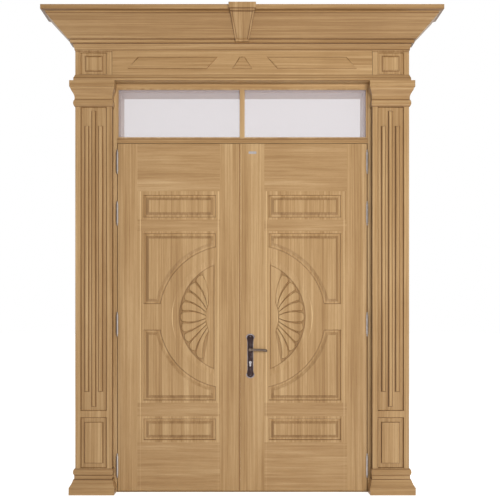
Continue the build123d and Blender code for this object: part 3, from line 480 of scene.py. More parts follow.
@dataclass(frozen=True)
class WoodPrint(Finish):
    """Light oak print under a satin lacquer, with painted shade in its recesses, quirks and joints and, on
    a leaf, a painted highlight along the fan's edge.
    """

    name: str
    grain: Grain = Grain.UPRIGHT
    seed: float = 0.0
    seed_pace: float = 2.3
    depth_share: float = 1.0
    deepen: float = 0.0
    sway: Layer = Layer((2.4, 2.4, 0.8), 1.0, weight=0.014)
    band: Layer = Layer((19.0, 19.0, 0.45), 3.0, 0.6, 0.42)
    streak: Layer = Layer((88.0, 88.0, 0.9), 3.0, 0.6, 0.4)
    fibre: Layer = Layer((430.0, 430.0, 8.0), 2.0, weight=0.14)
    pore: Layer = Layer((950.0, 950.0, 24.0), 1.0, weight=0.32)
    mottle: Layer = Layer((3.0, 3.0, 2.0), 2.0, weight=0.12)
    pore_range: Span = (0.58, 0.72)
    tone_drop: float = 0.04
    tone_range: Span = (0.33, 0.71)
    tones: Stops = (
        (0.0, swatch(148, 113, 71)),
        (0.3, swatch(168, 133, 89)),
        (0.55, swatch(179, 145, 101)),
        (0.8, swatch(190, 157, 113)),
        (1.0, swatch(203, 172, 128)),
    )
    pore_tone: Colour = swatch(128, 92, 54)
    line_tone: Colour = swatch(222, 190, 143)
    rail_tone: Colour = swatch(158, 123, 82)
    # Tints of the painted shade: the first on recess floors, slopes and grooves, the second on the dark
    # lines.
    recess_shade_tint: Colour = (0.66, 0.6, 0.52, 1.0)
    shade_line_tint: Colour = (0.46, 0.37, 0.28, 1.0)
    roughness: float = 0.5
    streak_gloss: float = 0.14
    pore_matt: float = 0.1
    fibre_height: float = 0.6
    relief: float = 0.16
    relief_depth: float = 0.0004
    specular: float = 0.4
    lacquer: float = 0.12
    lacquer_roughness: float = 0.32
    face_y: float = -0.1
    # Where painted shade goes on a piece: recess walls and floors, ribs, moulding quirks, the keystone's
    # sides and the jamb's joint with the leaf.
    walls: Span | None = None
    floor: Span = (0.0094, 0.0115)
    ribs: RibShade | None = None
    quirks: tuple[float, ...] = ()
    quirk_fade: Span = (0.00128, 0.0048)
    taper: TaperShade | None = None
    joint: Span | None = None
    leaf: LeafPrint = LeafPrint()
    # Strengths of the painted shade (lines, walls, floor, slopes, grooves), of the printed rails and
    # joints, and of the painted highlight on the fan's rim.
    line_cover: float = 0.8
    wall_cover: float = 0.75
    floor_cover: float = 0.25
    rail_cover: float = 0.36
    joint_cover: float = 0.15
    joint_gain: float = 0.55
    rim_highlight_cover: float = 0.8
    slope_cover: float = 0.8
    ring_easing: float = 0.4
    groove_cover: float = 0.85

    def fill(self, bench: Bench) -> None:
        """Fills the tree with boards, pores, toned lines and lacquer.

        Args:
            bench: Bench of the material.
        """
        place = bench.place()
        x, y, _ = place
        across, along = self._directions(*place)
        depth = (x if self.grain is Grain.DEEP else y) * self.depth_share
        sway = bench.noise((across, depth, along), self.sway) - NOISE_MIDDLE
        board = (across + sway * self.sway.weight, depth, along)
        band, streak, fibre = (bench.noise(board, layer) for layer in (self.band, self.streak, self.fibre))
        pore = bench.noise(board, self.pore).rise(*self.pore_range)
        mottle = bench.noise(place, self.mottle)
        mix = band * self.band.weight + streak * self.streak.weight + fibre * self.fibre.weight
        mix = mix + mottle * self.mottle.weight - self.tone_drop
        tone = mix.rise(*(edge + self.deepen for edge in self.tone_range))
        colour = bench.blend(pore * self.pore.weight, bench.ramp(tone, self.tones), self.pore_tone)
        bench.surface(
            {
                "Base Color": self._print_and_painted_light(bench, colour, place),
                "Roughness": self.roughness - streak * self.streak_gloss + pore * self.pore_matt,
                "Normal": bench.bump(fibre * self.fibre_height - pore, self.relief, self.relief_depth),
                "Specular IOR Level": self.specular,
                "Coat Weight": self.lacquer,
                "Coat Roughness": self.lacquer_roughness,
            }
        )

    def _directions(self, x: Signal, y: Signal, z: Signal) -> Sequence[Signal]:
        """Coordinates across and along the grain, moved by the seed.

        Args:
            x: Place across the door.
            y: Depth.
            z: Height.

        Returns:
            The two coordinates.
        """
        if self.grain is Grain.LEAF:
            return self._leaf_directions(x, z)
        ways = {Grain.UPRIGHT: (x, z), Grain.LEVEL: (z, x), Grain.DEEP: (z, y)}
        across, along = ways[self.grain]
        return across + self.seed, along + self.seed * self.seed_pace

    def _leaf_directions(self, x: Signal, z: Signal) -> Sequence[Signal]:
        """Coordinates across and along the grain of a leaf's upright and level boards.

        Args:
            x: Place across the door.
            z: Height.

        Returns:
            The two coordinates, moved by a step for each board.
        """
        leaf, side = self.leaf, abs(x)
        rail = self._rail(side, z)
        board = (side > leaf.middle[1]) + side.inside(*leaf.middle) * leaf.middle_board
        for _, high in leaf.rails:
            board = board + rail * (z > high)
        shift = board * leaf.board_step + self.seed
        across = x * (1 - rail) + z * rail
        along = z * (1 - rail) + x * rail * leaf.rail_pace
        return across + shift, along + shift

    def _rail(self, side: Signal, z: Signal) -> Signal:
        """One on the level boards of a leaf."""
        rails = any_of(z.inside(*span) for span in self.leaf.rails)
        return rails * side.inside(*self.leaf.middle)

    def _print_and_painted_light(self, bench: Bench, colour: Signal, place: Sequence[Signal]) -> Signal:
        """Adds the painted shade lines of a piece, or the print and painted light of a leaf.

        Args:
            bench: Bench of the material.
            colour: Colour of the boards.
            place: X, Y and Z signals.

        Returns:
            The colour with its painted shade.
        """
        if self.grain is Grain.LEAF:
            return self._leaf_lines(bench, colour, place)
        x, y, z = place
        # Painted shade: dark lines in moulding quirks, along the keystone's sides and in the jamb's joint
        # with the leaf.
        lines = [1 - abs(z - level).rise(*self.quirk_fade) for level in self.quirks]
        if self.taper:
            lines.append(self.taper.mask(x, z))
        if self.joint:
            lines.append(abs(x).inside(*self.joint))
        for line in lines:
            colour = bench.shade(line * self.line_cover, colour, self.shade_line_tint)
        if self.walls is None:
            return colour
        # Painted shade on recess floors and walls; on the pilasters also beside the ribs and on their
        # inner sides, where shade falls.
        sink = y - self.face_y
        floor, walls = sink.inside(*self.floor), sink.inside(*self.walls)
        if self.ribs:
            walls = walls | floor * self.ribs.mask(x, z) | (abs(x) < self.ribs.inner_x)
        colour = bench.shade(floor * self.floor_cover, colour, self.recess_shade_tint)
        return bench.shade(walls * self.wall_cover, colour, self.shade_line_tint)

    def _leaf_lines(self, bench: Bench, colour: Signal, place: Sequence[Signal]) -> Signal:
        """Adds the printed joints, the painted highlight on the fan's edge and the painted shade of panel
        lines and petal grooves of a leaf.

        Args:
            bench: Bench of the material.
            colour: Colour of the boards.
            place: X, Y and Z signals.

        Returns:
            The colour with its joints, painted highlight and painted shade.
        """
        x, y, z = place
        leaf, side, above = self.leaf, abs(x), z - self.leaf.fan_z
        spot = LeafSpot(side, z, leaf.face_y - abs(y), above, (side - leaf.fan_x).reach(above))
        colour = self._board_joints(bench, colour, spot)
        colour = self._panel_lines(bench, colour, spot)
        # Painted shade in the grooves between the fan's petals.
        petals = (spot.reach < leaf.fan_foot) * ((side - leaf.hub_x).reach(above) > leaf.hub_radius)
        petals = petals * (side - abs(above) * leaf.petal_lean > leaf.petal_side)
        groove = spot.sink.rise(*leaf.groove) * petals
        return bench.shade(groove * self.groove_cover, colour, self.recess_shade_tint)

    def _board_joints(self, bench: Bench, colour: Signal, spot: LeafSpot) -> Signal:
        """Adds the calmer level boards, the pale printed joints and a painted highlight along the edge of
        the fan.

        Args:
            bench: Bench of the material.
            colour: Colour of the boards.
            spot: Point of the leaf.

        Returns:
            The colour with its boards, joints and painted highlight.
        """
        leaf, side, z = self.leaf, spot.side, spot.z
        colour = bench.blend(self._rail(side, z) * self.rail_cover, colour, self.rail_tone)
        joint = any_of(side.near(line, leaf.line_half) for line in leaf.joint_lines)
        cover = z.rise(*leaf.line_fade) * self.joint_gain + self.joint_cover
        colour = bench.blend(joint * (z < leaf.line_top) * cover, colour, self.line_tone)
        # Painted highlight along the fan's outer edge, strongest level with the fan's middle.
        rim = spot.reach.near(leaf.fan_radius, leaf.line_half)
        level = 1 - abs(spot.above).rise(0.0, leaf.fan_span)
        return bench.blend(rim * level * self.rim_highlight_cover, colour, self.line_tone)

    def _panel_lines(self, bench: Bench, colour: Signal, spot: LeafSpot) -> Signal:
        """Adds painted shade on the panel slopes and painted shade lines along panels, ring and fan.

        Args:
            bench: Bench of the material.
            colour: Colour of the boards.
            spot: Point of the leaf.

        Returns:
            The colour with its painted shade.
        """
        leaf, side, above, sink = self.leaf, spot.side, abs(spot.above), spot.sink
        panel = side.inside(*leaf.panel)
        from_ring = (side - leaf.ring_x).reach(spot.above) - leaf.ring_radius
        # Painted shade on the panel slopes, weaker near the ring.
        slope = sink.rise(*leaf.slope_start) * (1 - sink.rise(*leaf.slope_end))
        slope = slope * panel * (spot.reach > leaf.fan_radius)
        cover = self.slope_cover - (from_ring < leaf.ring_band) * self.ring_easing
        colour = bench.shade(slope * cover, colour, self.recess_shade_tint)
        # Painted shade lines at the fan's foot and chord, along the ring and belt, and at the sills.
        lines = [
            spot.reach.near(leaf.foot_arc, leaf.dark_half) * (side > leaf.chord_x),
            side.near(leaf.chord_x, leaf.dark_half) * (above < leaf.chord_half),
            (abs(from_ring) < leaf.dark_half) * (above > leaf.belt_half) * panel,
            above.near(leaf.belt_half, leaf.dark_half) * side.inside(*leaf.belt),
        ]
        lines += [spot.z.near(level, leaf.dark_half) * panel for level in leaf.sills]
        return bench.shade(any_of(lines) * self.line_cover, colour, self.recess_shade_tint)


@dataclass(frozen=True)
class Metal(Finish):
    """A bare or plated metal with a fine brushed or cast surface."""

    name: str
    base: Colour
    worn: Colour
    roughness: float
    brush: Layer
    wear: Layer = Layer((60.0, 60.0, 45.0), 3.0, weight=0.6)
    wear_range: Span = (0.45, 0.75)
    brush_matt: float = 0.16
    wear_gloss: float = 0.06
    metallic: float = 1.0
    relief: float = 0.08
    relief_depth: float = 0.0002

    def fill(self, bench: Bench) -> None:
        """Fills the tree with brush marks and wear.

        Args:
            bench: Bench of the material.
        """
        place = bench.place()
        brushed = bench.noise(place, self.brush)
        wear = bench.noise(place, self.wear).rise(*self.wear_range)
        share = wear * self.wear.weight + brushed * self.brush.weight
        bench.surface(
            {
                "Base Color": bench.blend(share, self.base, self.worn),
                "Roughness": self.roughness + brushed * self.brush_matt - wear * self.wear_gloss,
                "Metallic": self.metallic,
                "Normal": bench.bump(brushed, self.relief, self.relief_depth),
            }
        )


@dataclass(frozen=True)
class Galvanised(Finish):
    """Zinc-coated sheet with spangles."""

    name: str = "zinc_sheet"
    tones: Stops = ((0.0, swatch(150, 154, 157)), (1.0, swatch(196, 199, 201)))
    spangle_rate: float = 70.0
    roughness: float = 0.36
    spangle_matt: float = 0.2
    metallic: float = 0.85

    def fill(self, bench: Bench) -> None:
        """Fills the tree with spangles.

        Args:
            bench: Bench of the material.
        """
        inputs = {"Vector": bench.point(), "Scale": self.spangle_rate}
        cell = bench.signal("ShaderNodeTexVoronoi", {"feature": "F1"}, inputs, "Color")
        share = bench.signal("ShaderNodeSeparateColor", inputs={0: cell})
        bench.surface(
            {
                "Base Color": bench.ramp(share, self.tones),
                "Roughness": self.roughness + share * self.spangle_matt,
                "Metallic": self.metallic,
            }
        )


@dataclass(frozen=True)
class Pane(Finish):
    """Clear glass, mostly see-through, whose pale colour is a painted reflection of the white room."""

    name: str = "pale_glass"
    # Painted reflection of the white room; the ripple mixes in a cooler tone, and the cover is how much of
    # it shows.
    room_reflection: Colour = swatch(201, 191, 195)
    cool_room_reflection: Colour = swatch(194, 189, 198)
    cover: float = 0.367
    ripple: Layer = Layer((3.0, 3.0, 3.0), 2.0, weight=0.2)
    roughness: float = 0.04
    ripple_matt: float = 0.05
    refraction: float = 1.5
    relief: float = 0.03
    relief_depth: float = 0.001

    def fill(self, bench: Bench) -> None:
        """Fills the tree with a faint ripple.

        Args:
            bench: Bench of the material.
        """
        ripple = bench.noise(bench.place(), self.ripple)
        bench.surface(
            {
                "Base Color": bench.blend(ripple * self.ripple.weight, self.room_reflection, self.cool_room_reflection),
                "Roughness": self.roughness + ripple * self.ripple_matt,
                "Alpha": self.cover,
                "IOR": self.refraction,
                "Normal": bench.bump(ripple, self.relief, self.relief_depth),
            }
        )


@dataclass(frozen=True)
class Matt(Finish):
    """Rubber or board: a rough surface with a fine speckle."""

    name: str
    base: Colour
    fleck: Colour
    rate: float
    roughness: float
    octaves: float = 4.0
    octave_weight: float = 0.65
    fleck_range: Span = (0.35, 0.7)
    fleck_matt: float = 0.12
    relief: float = 0.2
    relief_depth: float = 0.0004

    def fill(self, bench: Bench) -> None:
        """Fills the tree with speckle.

        Args:
            bench: Bench of the material.
        """
        layer = Layer((self.rate, self.rate, self.rate), self.octaves, self.octave_weight)
        speckle = bench.noise(bench.place(), layer)
        bench.surface(
            {
                "Base Color": bench.blend(speckle.rise(*self.fleck_range), self.base, self.fleck),
                "Roughness": self.roughness + speckle * self.fleck_matt,
                "Normal": bench.bump(speckle, self.relief, self.relief_depth),
            }
        )


@dataclass(frozen=True)
class PaleFloor(Finish):
    """White floor that keeps a soft shadow."""

    name: str = "pale_floor"
    tone: Colour = (0.8, 0.8, 0.8, 1.0)
    glow: float = 0.8

    def fill(self, bench: Bench) -> None:
        """Fills the tree with a matt tone and a glow that only shows the room.

        Args:
            bench: Bench of the material.
        """
        matt = bench.signal("ShaderNodeBsdfDiffuse", inputs={"Color": self.tone})
        inputs = {"Color": WHITE, "Strength": bench.seen() * self.glow}
        glow = bench.signal("ShaderNodeEmission", inputs=inputs)
        both = bench.signal("ShaderNodeAddShader", inputs={0: matt, 1: glow})
        bench.node("ShaderNodeOutputMaterial", inputs={"Surface": both})


class MeshShop:
    """Builds plain meshes from loops of points, in millimetres."""

    def __init__(self, name: str) -> None:
        """Starts an empty mesh."""
        self.name = name
        self.mesh = bmesh.new()

    def skin(self, loops: Iterable[Iterable[Point]], slots: Sequence[int] = ()) -> None:
        """Joins closed loops in a row with quads and caps both ends.

        Args:
            loops: Loops with equal numbers of points.
            slots: Material index of each band, or nothing for the first material.
        """
        rings = [[self.mesh.verts.new(Vector(point) * MM) for point in loop] for loop in loops]
        for index, (first, second) in enumerate(zip(rings, rings[1:])):
            count = len(first)
            for step in range(count):
                after = (step + 1) % count
                face = self.mesh.faces.new((first[step], first[after], second[after], second[step]))
                face.material_index = slots[index] if slots else 0
                face.smooth = True
        for end, slot in ((rings[0], 0), (rings[-1], slots[-1] if slots else 0)):
            cap = self.mesh.faces.new(end)
            cap.material_index = slot

    def finish(self, materials: Sequence[bpy.types.Material], sharp: float = 35.0) -> bpy.types.Object:
        """Turns the mesh into an object at the origin.

        Args:
            materials: Its materials, in slot order.
            sharp: Angle in degrees past which an edge stays crisp.

        Returns:
            The object.
        """
        bmesh.ops.recalc_face_normals(self.mesh, faces=self.mesh.faces)
        data = bpy.data.meshes.new(self.name)
        self.mesh.to_mesh(data)
        self.mesh.free()
        data.set_sharp_from_angle(angle=math.radians(sharp))
        for material in materials:
            data.materials.append(material)
        return put(self.name, data)


def carry(piece: bpy.types.Object, body: str, slot: str, *nodes: str) -> None:
    """Puts a new piece on its body.

    Args:
        piece: The finished piece.
        body: Body that it moves with.
        slot: Material slot of the record; not used.
        nodes: Solids that it stands for.
    """
    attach(piece, body)
    if nodes:
        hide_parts(*nodes)
    LOG.info("%s rides on %s", piece.name, body)


class Face(Enum):
    """Faces of a leaf, with the sign of their depth."""

    OUTER = -1
    INNER = 1

    @property
    def label(self) -> str:
        """Word for the face in the names of its pieces."""
        return self.name.lower()


@dataclass
class HandleSet:
    """Lever handles and their long plates, in millimetres."""

    metal: bpy.types.Material
    rim: bpy.types.Material
    grip: bpy.types.Material
    spindle_x: float = 52.0
    spindle_z: float = 912.0
    plate_z: float = 871.0
    plate_half: float = 20.0
    plate_end_half: float = 28.0
    plate_length: float = 285.0
    plate_end_length: float = 48.0
    plate_lobe: float = 24.0
    plate_sharp: float = 50.0
    lever_sharp: float = 40.0
    arm_y: float = 63.5
    arm_flat: float = 0.8
    steps: int = 12
    round_steps: int = 28
    # Share of the width, share of the length, height and material slot of each ring of a plate.
    plate_rings: tuple[tuple[float, float, float, int], ...] = (
        (1.0, 1.0, 0.0, 1), (1.0, 1.0, 2.9, 1), (0.975, 0.994, 4.0, 1), (0.93, 0.986, 4.5, 1),
        (0.85, 0.97, 4.4, 1), (0.79, 0.957, 3.5, 1), (0.71, 0.885, 3.4, 0), (0.68, 0.86, 4.4, 0),
        (0.665, 0.856, 6.6, 0), (0.62, 0.848, 7.7, 0), (0.55, 0.835, 8.0, 0),
    )
    # Radius of each ring of a neck, and its distance from the middle of the leaf.
    neck: tuple[Span, ...] = (
        (9.0, 29.6), (9.0, 33.4), (12.6, 33.5), (13.0, 34.4), (12.8, 36.6), (11.4, 38.4),
        (9.4, 39.4), (8.2, 42.0), (7.8, 48.0), (8.3, 54.0), (9.4, 58.5), (10.0, 63.5), (9.4, 68.0),
        (7.4, 71.0), (4.2, 72.3),
    )
    # Distance of each ring of an arm from the spindle, its rise and its half height.
    arm: tuple[Point, ...] = (
        (-8.8, 0.0, 2.0), (-8.0, 0.0, 5.2), (-5.0, 0.0, 7.9), (0.0, 0.0, 9.0), (8.0, 0.2, 8.8),
        (18.0, 0.3, 8.0), (30.0, 0.2, 7.6), (48.0, 0.0, 7.4), (66.0, -0.5, 7.5), (82.0, -1.7, 7.9),
        (94.0, -3.6, 8.3), (102.0, -5.4, 8.3), (106.0, -6.5, 6.6), (107.8, -7.0, 2.8),
    )

    def build(self) -> None:
        """Makes both plates and both levers."""
        for face in Face:
            carry(self._plate(face), "right_leaf", "dark_bronze", f"{face.label}_escutcheon")
            carry(self._lever(face), "lever", "dark_bronze", f"{face.label}_lever")

    def _outline(self, width: float, length: float) -> list[Span]:
        """Outline of a plate about its middle.

        Args:
            width: Share of the full width.
            length: Share of the full length.

        Returns:
            Points from the top down the hinge side and up the other.
        """
        half, end = self.plate_half * width, self.plate_end_half * width
        tip = self.plate_length / 2 * length
        wide, narrow = tip - self.plate_lobe, tip - self.plate_end_length
        shares = [1 - step / self.steps for step in range(1, self.steps + 1)]
        turns = [math.pi / 2 * share for share in shares]
        top = [(end * math.cos(turn), wide + self.plate_lobe * math.sin(turn)) for turn in turns]
        top += [(half + (end - half) * share**2, narrow + (wide - narrow) * share) for share in shares]
        flank = top + [(x, -z) for x, z in reversed(top)]
        return [(0.0, tip), *flank, (0.0, -tip), *[(-x, z) for x, z in reversed(flank)]]

    def _plate(self, face: Face) -> bpy.types.Object:
        """One long plate with a bright rim and a raised middle.

        Args:
            face: Face that it lies on.

        Returns:
            The plate.
        """
        shop = MeshShop(f"{face.label}_plate")
        loops = []
        for width, length, height, _ in self.plate_rings:
            y, outline = face.value * (LEAF_FACE + height), self._outline(width, length)
            loops.append([(self.spindle_x + x, y, self.plate_z + z) for x, z in outline])
        shop.skin(loops, [slot for *_, slot in self.plate_rings[1:]])
        return shop.finish([self.metal, self.rim], self.plate_sharp)

    def _lever(self, face: Face) -> bpy.types.Object:
        """One lever: a turned neck and a swept arm.

        Args:
            face: Face that it stands on.

        Returns:
            The lever.
        """
        shop = MeshShop(f"{face.label}_handle")
        x, y, z = self.spindle_x, face.value * self.arm_y, self.spindle_z
        shop.skin(
            [(x + a, face.value * reach, z + b) for a, b in circle(radius, self.round_steps)]
            for radius, reach in self.neck
        )
        shop.skin(
            [(x + along, y + a * self.arm_flat, z + rise + b) for a, b in circle(half, self.round_steps)]
            for along, rise, half in self.arm
        )
        return shop.finish([self.grip], self.lever_sharp)


@dataclass
class Badge:
    """Bare plate at the top of the right leaf, in millimetres."""

    metal: bpy.types.Material
    x: float = 66.0
    z: float = 2172.0
    half_width: float = 25.0
    half_height: float = 8.0
    corner: float = 3.0
    thickness: float = 1.4
    bevel: float = 0.5
    corner_steps: int = 5

    def build(self) -> None:
        """Makes the plate and puts it on the leaf."""
        shop = MeshShop("blank_badge")
        stack = ((0.0, 0.0), (0.0, self.thickness - self.bevel), (self.bevel, self.thickness))
        shop.skin(
            [(self.x + x, -LEAF_FACE - height, self.z + z) for x, z in self._outline(trim)]
            for trim, height in stack
        )
        carry(shop.finish([self.metal]), "right_leaf", "hinge_steel")

    def _outline(self, trim: float) -> list[Span]:
        """Rounded rectangle about the middle of the plate.

        Args:
            trim: How far it is drawn in.

        Returns:
            Its points.
        """
        wide, tall = self.half_width - self.corner, self.half_height - self.corner
        radius = self.corner - trim
        loop = []
        for index, (sx, sz) in enumerate(((1, 1), (-1, 1), (-1, -1), (1, -1))):
            for step in range(self.corner_steps + 1):
                turn = math.pi / 2 * (index + step / self.corner_steps)
                loop.append((sx * wide + radius * math.cos(turn), sz * tall + radius * math.sin(turn)))
        return loop


@dataclass
class SealLip:
    """Soft lip of the meeting seal that closes the last of the joint, in millimetres."""

    rubber: bpy.types.Material
    low: float = 8.4
    high: float = 2228.6
    profile: tuple[Span, ...] = (
        (-14.5, -22.6), (-14.0, -22.3), (-13.76, -21.4), (-13.7, -20.2), (-13.7, -19.2),
        (-13.95, -19.2), (-14.0, -20.4), (-14.14, -21.2), (-14.5, -21.6),
    )

    def build(self) -> None:
        """Makes the lip and puts it on the left leaf."""
        shop = MeshShop("seal_lip")
        shop.skin([(x, y, z) for x, y in self.profile] for z in (self.low, self.high))
        carry(shop.finish([self.rubber]), "left_leaf", "black_rubber")


@dataclass
class HingeTips:
    """Turned points on the ends of the hinge pins, in millimetres."""

    metal: bpy.types.Material
    axis_x: float = 799.0
    axis_y: float = -33.0
    pin_half: float = 70.5
    hinge_z: tuple[float, ...] = (171.0, 1073.9, 1783.0, 2113.1)
    steps: int = 16
    # Radius of each ring of a point, and its distance from the end of the pin.
    profile: tuple[Span, ...] = (
        (4.0, -1.5), (6.0, -0.4), (6.4, 1.2), (5.4, 3.2), (3.2, 5.8), (1.8, 8.0), (0.7, 9.4),
    )

    def build(self) -> None:
        """Makes the points of both sides; they stand on the frame."""
        for side, label in ((1, "right"), (-1, "left")):
            shop = MeshShop(f"{label}_hinge_tips")
            for z in self.hinge_z:
                for way in (-1, 1):
                    self._tip(shop, side * self.axis_x, z + way * self.pin_half, way)
            carry(shop.finish([self.metal]), "frame", "hinge_steel")

    def _tip(self, shop: MeshShop, x: float, z: float, way: int) -> None:
        """Adds one point.

        Args:
            shop: Mesh that it goes into.
            x: Place of the pin across the door.
            z: Height of the pin's end.
            way: 1 for upward and -1 for downward.
        """
        shop.skin(
            [(x + a, self.axis_y + b, z + way * rise) for a, b in circle(radius, self.steps)]
            for radius, rise in self.profile
        )


@dataclass
class ScrewRow:
    """Screw heads of one body, set out by a node tree; sizes in millimetres."""

    name: str
    body: str
    metal: bpy.types.Material
    seats: list[tuple[Point, Point]] = field(default_factory=list)
    head_radius: float = 3.6
    head_height: float = 0.5
    socket_share: float = 0.5
    socket_depth: float = 0.4
    sides: int = 14

    def add(self, x: float, y: float, z: float, facing: Point) -> None:
        """Adds a screw at a point of a face."""
        self.seats.append(((x, y, z), facing))

    def build(self) -> None:
        """Sets out the heads and makes one plain mesh of them."""
        data = bpy.data.meshes.new(f"{self.name}_seats")
        data.from_pydata([Vector(spot) * MM for spot, _ in self.seats], [], [])
        facing = data.attributes.new("facing", "FLOAT_VECTOR", "POINT")
        for index, (_, direction) in enumerate(self.seats):
            facing.data[index].vector = direction
        seats = put(f"{self.name}_seats", data)
        modifier = seats.modifiers.new("heads", "NODES")
        modifier.node_group = self._tree()
        sizes = {
            "Head Radius": self.head_radius * MM,
            "Head Height": self.head_height * MM,
            "Socket Share": self.socket_share,
            "Socket Depth": self.socket_depth * MM,
            "Metal": self.metal,
        }
        for item in modifier.node_group.interface.items_tree:
            if item.in_out == "INPUT" and item.name in sizes:
                modifier[item.identifier] = sizes[item.name]
        graph = bpy.context.evaluated_depsgraph_get()
        mesh = bpy.data.meshes.new_from_object(seats.evaluated_get(graph))
        bpy.data.objects.remove(seats)
        carry(put(self.name, mesh), self.body, "lock_steel")

    def _tree(self) -> bpy.types.NodeTree:
        """Builds the node tree that puts a socket-head disc on every seat.

        Returns:
            The tree, with named inputs for the sizes.
        """
        tree = bpy.data.node_groups.new(f"{self.name}_heads", "GeometryNodeTree")
        labels = ("Head Radius", "Head Height", "Socket Share", "Socket Depth")
        kinds = {"Seats": "Geometry", **dict.fromkeys(labels, "Float"), "Metal": "Material"}
        for label, kind in kinds.items():
            tree.interface.new_socket(label, in_out="INPUT", socket_type=f"NodeSocket{kind}")
        tree.interface.new_socket("Heads", in_out="OUTPUT", socket_type="NodeSocketGeometry")
        bench = Bench(tree)
        given = bench.node("NodeGroupInput")
        seats, radius, height, share, depth, metal = bench.pick(given, *kinds)
        inputs = {"Vertices": self.sides, "Radius": radius, "Depth": height}
        disc = bench.node("GeometryNodeMeshCylinder", {"fill_type": "NGON"}, inputs)
        mesh, top = bench.pick(disc, "Mesh", "Top")
        inputs = {"Mesh": mesh, "Selection": top, "Offset Scale": 0.0}
        lip = bench.node("GeometryNodeExtrudeMesh", inputs=inputs)
        mesh, top = bench.pick(lip, "Mesh", "Top")
        inputs = {"Geometry": mesh, "Selection": top, "Scale": share}
        mesh = bench.signal("GeometryNodeScaleElements", inputs=inputs)
        inputs = {"Mesh": mesh, "Selection": top, "Offset Scale": -depth}
        head = bench.signal("GeometryNodeExtrudeMesh", inputs=inputs)
        settings = {"data_type": "FLOAT_VECTOR"}
        facing = bench.signal("GeometryNodeInputNamedAttribute", settings, {"Name": "facing"}, "Attribute")
        turn = bench.signal("FunctionNodeAlignRotationToVector", {"axis": "Z"}, {"Vector": facing})
        inputs = {"Points": seats, "Instance": head, "Rotation": turn}
        spread = bench.signal("GeometryNodeInstanceOnPoints", inputs=inputs)
        plain = bench.signal("GeometryNodeRealizeInstances", inputs={"Geometry": spread})
        inputs = {"Geometry": plain, "Material": metal}
        painted = bench.signal("GeometryNodeSetMaterial", inputs=inputs)
        bench.node("NodeGroupOutput", inputs={"Heads": painted})
        return tree


@dataclass
class Fasteners:
    """Screws of the lock faceplate, the strike plate and the handle plates, in millimetres."""

    metal: bpy.types.Material
    dark: bpy.types.Material
    handles: HandleSet
    edge_reach: float = 103.0
    faceplate_x: float = -13.6
    strike_x: float = -19.6
    plate_reach: float = 123.0
    plate_rise: float = 3.6
    plate_head_radius: float = 3.2
    plate_head_height: float = 1.6
    plate_socket_depth: float = 1.0

    def build(self) -> None:
        """Sets out the screws body by body."""
        faceplate = ScrewRow("right_leaf_screws", "right_leaf", self.metal)
        strike = ScrewRow("left_leaf_screws", "left_leaf", self.metal)
        plates = ScrewRow(
            "plate_screws",
            "right_leaf",
            self.dark,
            head_radius=self.plate_head_radius,
            head_height=self.plate_head_height,
            socket_depth=self.plate_socket_depth,
        )
        x, middle, seat = self.handles.spindle_x, self.handles.plate_z, LEAF_FACE + self.plate_rise
        for way in (-1, 1):
            edge_z, plate_z = (middle + way * reach for reach in (self.edge_reach, self.plate_reach))
            faceplate.add(self.faceplate_x, 0.0, edge_z, (-1.0, 0.0, 0.0))
            strike.add(self.strike_x, 0.0, edge_z, (1.0, 0.0, 0.0))
            for face in Face:
                plates.add(x, face.value * seat, plate_z, (0.0, face.value, 0.0))
        for row in (faceplate, strike, plates):
            row.build()


@dataclass(frozen=True)
class Lamp:
    """Square soft lamp aimed at a point, in metres and watts."""

    name: str
    place: Point
    target: Point
    size: float
    power: float

    def build(self) -> None:
        """Makes the lamp, which metal and glass don't mirror."""
        light = bpy.data.lights.new(self.name, "AREA")
        light.size = self.size
        light.energy = self.power
        lamp = put(self.name, light)
        lamp.location = self.place
        way = Vector(self.target) - Vector(self.place)
        lamp.rotation_euler = way.to_track_quat("-Z", "Y").to_euler()
        lamp.visible_glossy = False


@dataclass
class Studio:
    """Floor, light and camera round the door, in metres; lens and sensor in millimetres."""

    floor_half: float = 40.0
    floor_drop: float = 0.001
    ambient: float = 0.3
    lamps: tuple[Lamp, ...] = (
        Lamp("key_lamp", (1.5, -6.2, 2.2), (0.0, 0.0, 1.6), size=2.0, power=286.0),
        Lamp("fill_lamp", (-4.2, -5.0, 2.0), (0.0, 0.0, 1.4), size=4.0, power=30.0),
        Lamp("back_lamp", (2.5, 5.0, 4.2), (0.0, 0.0, 1.4), size=3.2, power=180.0),
    )
    eye: Point = (0.0, -6.025, 1.165)
    lens: float = 67.5
    sensor: float = 36.0
    shift: Span = (0.0156, 0.12)
    sight: float = 200.0

    def build(self) -> None:
        """Makes the world, floor, lamps and camera."""
        self._world()
        self._floor()
        for lamp in self.lamps:
            lamp.build()
        self._camera()

    def _world(self) -> None:
        """White room that lights the door softly."""
        world = bpy.data.worlds.new("white_room")
        world.use_nodes = True
        bpy.context.scene.world = world
        bench = Bench(world.node_tree)
        strength = bench.seen() * (1 - self.ambient) + self.ambient
        light = bench.signal("ShaderNodeBackground", inputs={"Color": WHITE, "Strength": strength})
        bench.node("ShaderNodeOutputWorld", inputs={"Surface": light})

    def _floor(self) -> None:
        """Pale floor that keeps the door's shadow."""
        data = bpy.data.meshes.new("floor")
        signs = ((-1, -1), (1, -1), (1, 1), (-1, 1))
        corners = [(sx * self.floor_half, sy * self.floor_half, -self.floor_drop) for sx, sy in signs]
        data.from_pydata(corners, [], [range(len(corners))])
        data.materials.append(PaleFloor().build())
        put("floor", data)

    def _camera(self) -> None:
        """Level camera in front of the door."""
        data = bpy.data.cameras.new("camera")
        data.sensor_width = self.sensor
        data.lens = self.lens
        data.shift_x, data.shift_y = self.shift
        data.clip_end = self.sight
        camera = put("camera", data)
        camera.location = self.eye
        camera.rotation_euler = (math.pi / 2, 0.0, 0.0)
        bpy.context.scene.camera = camera


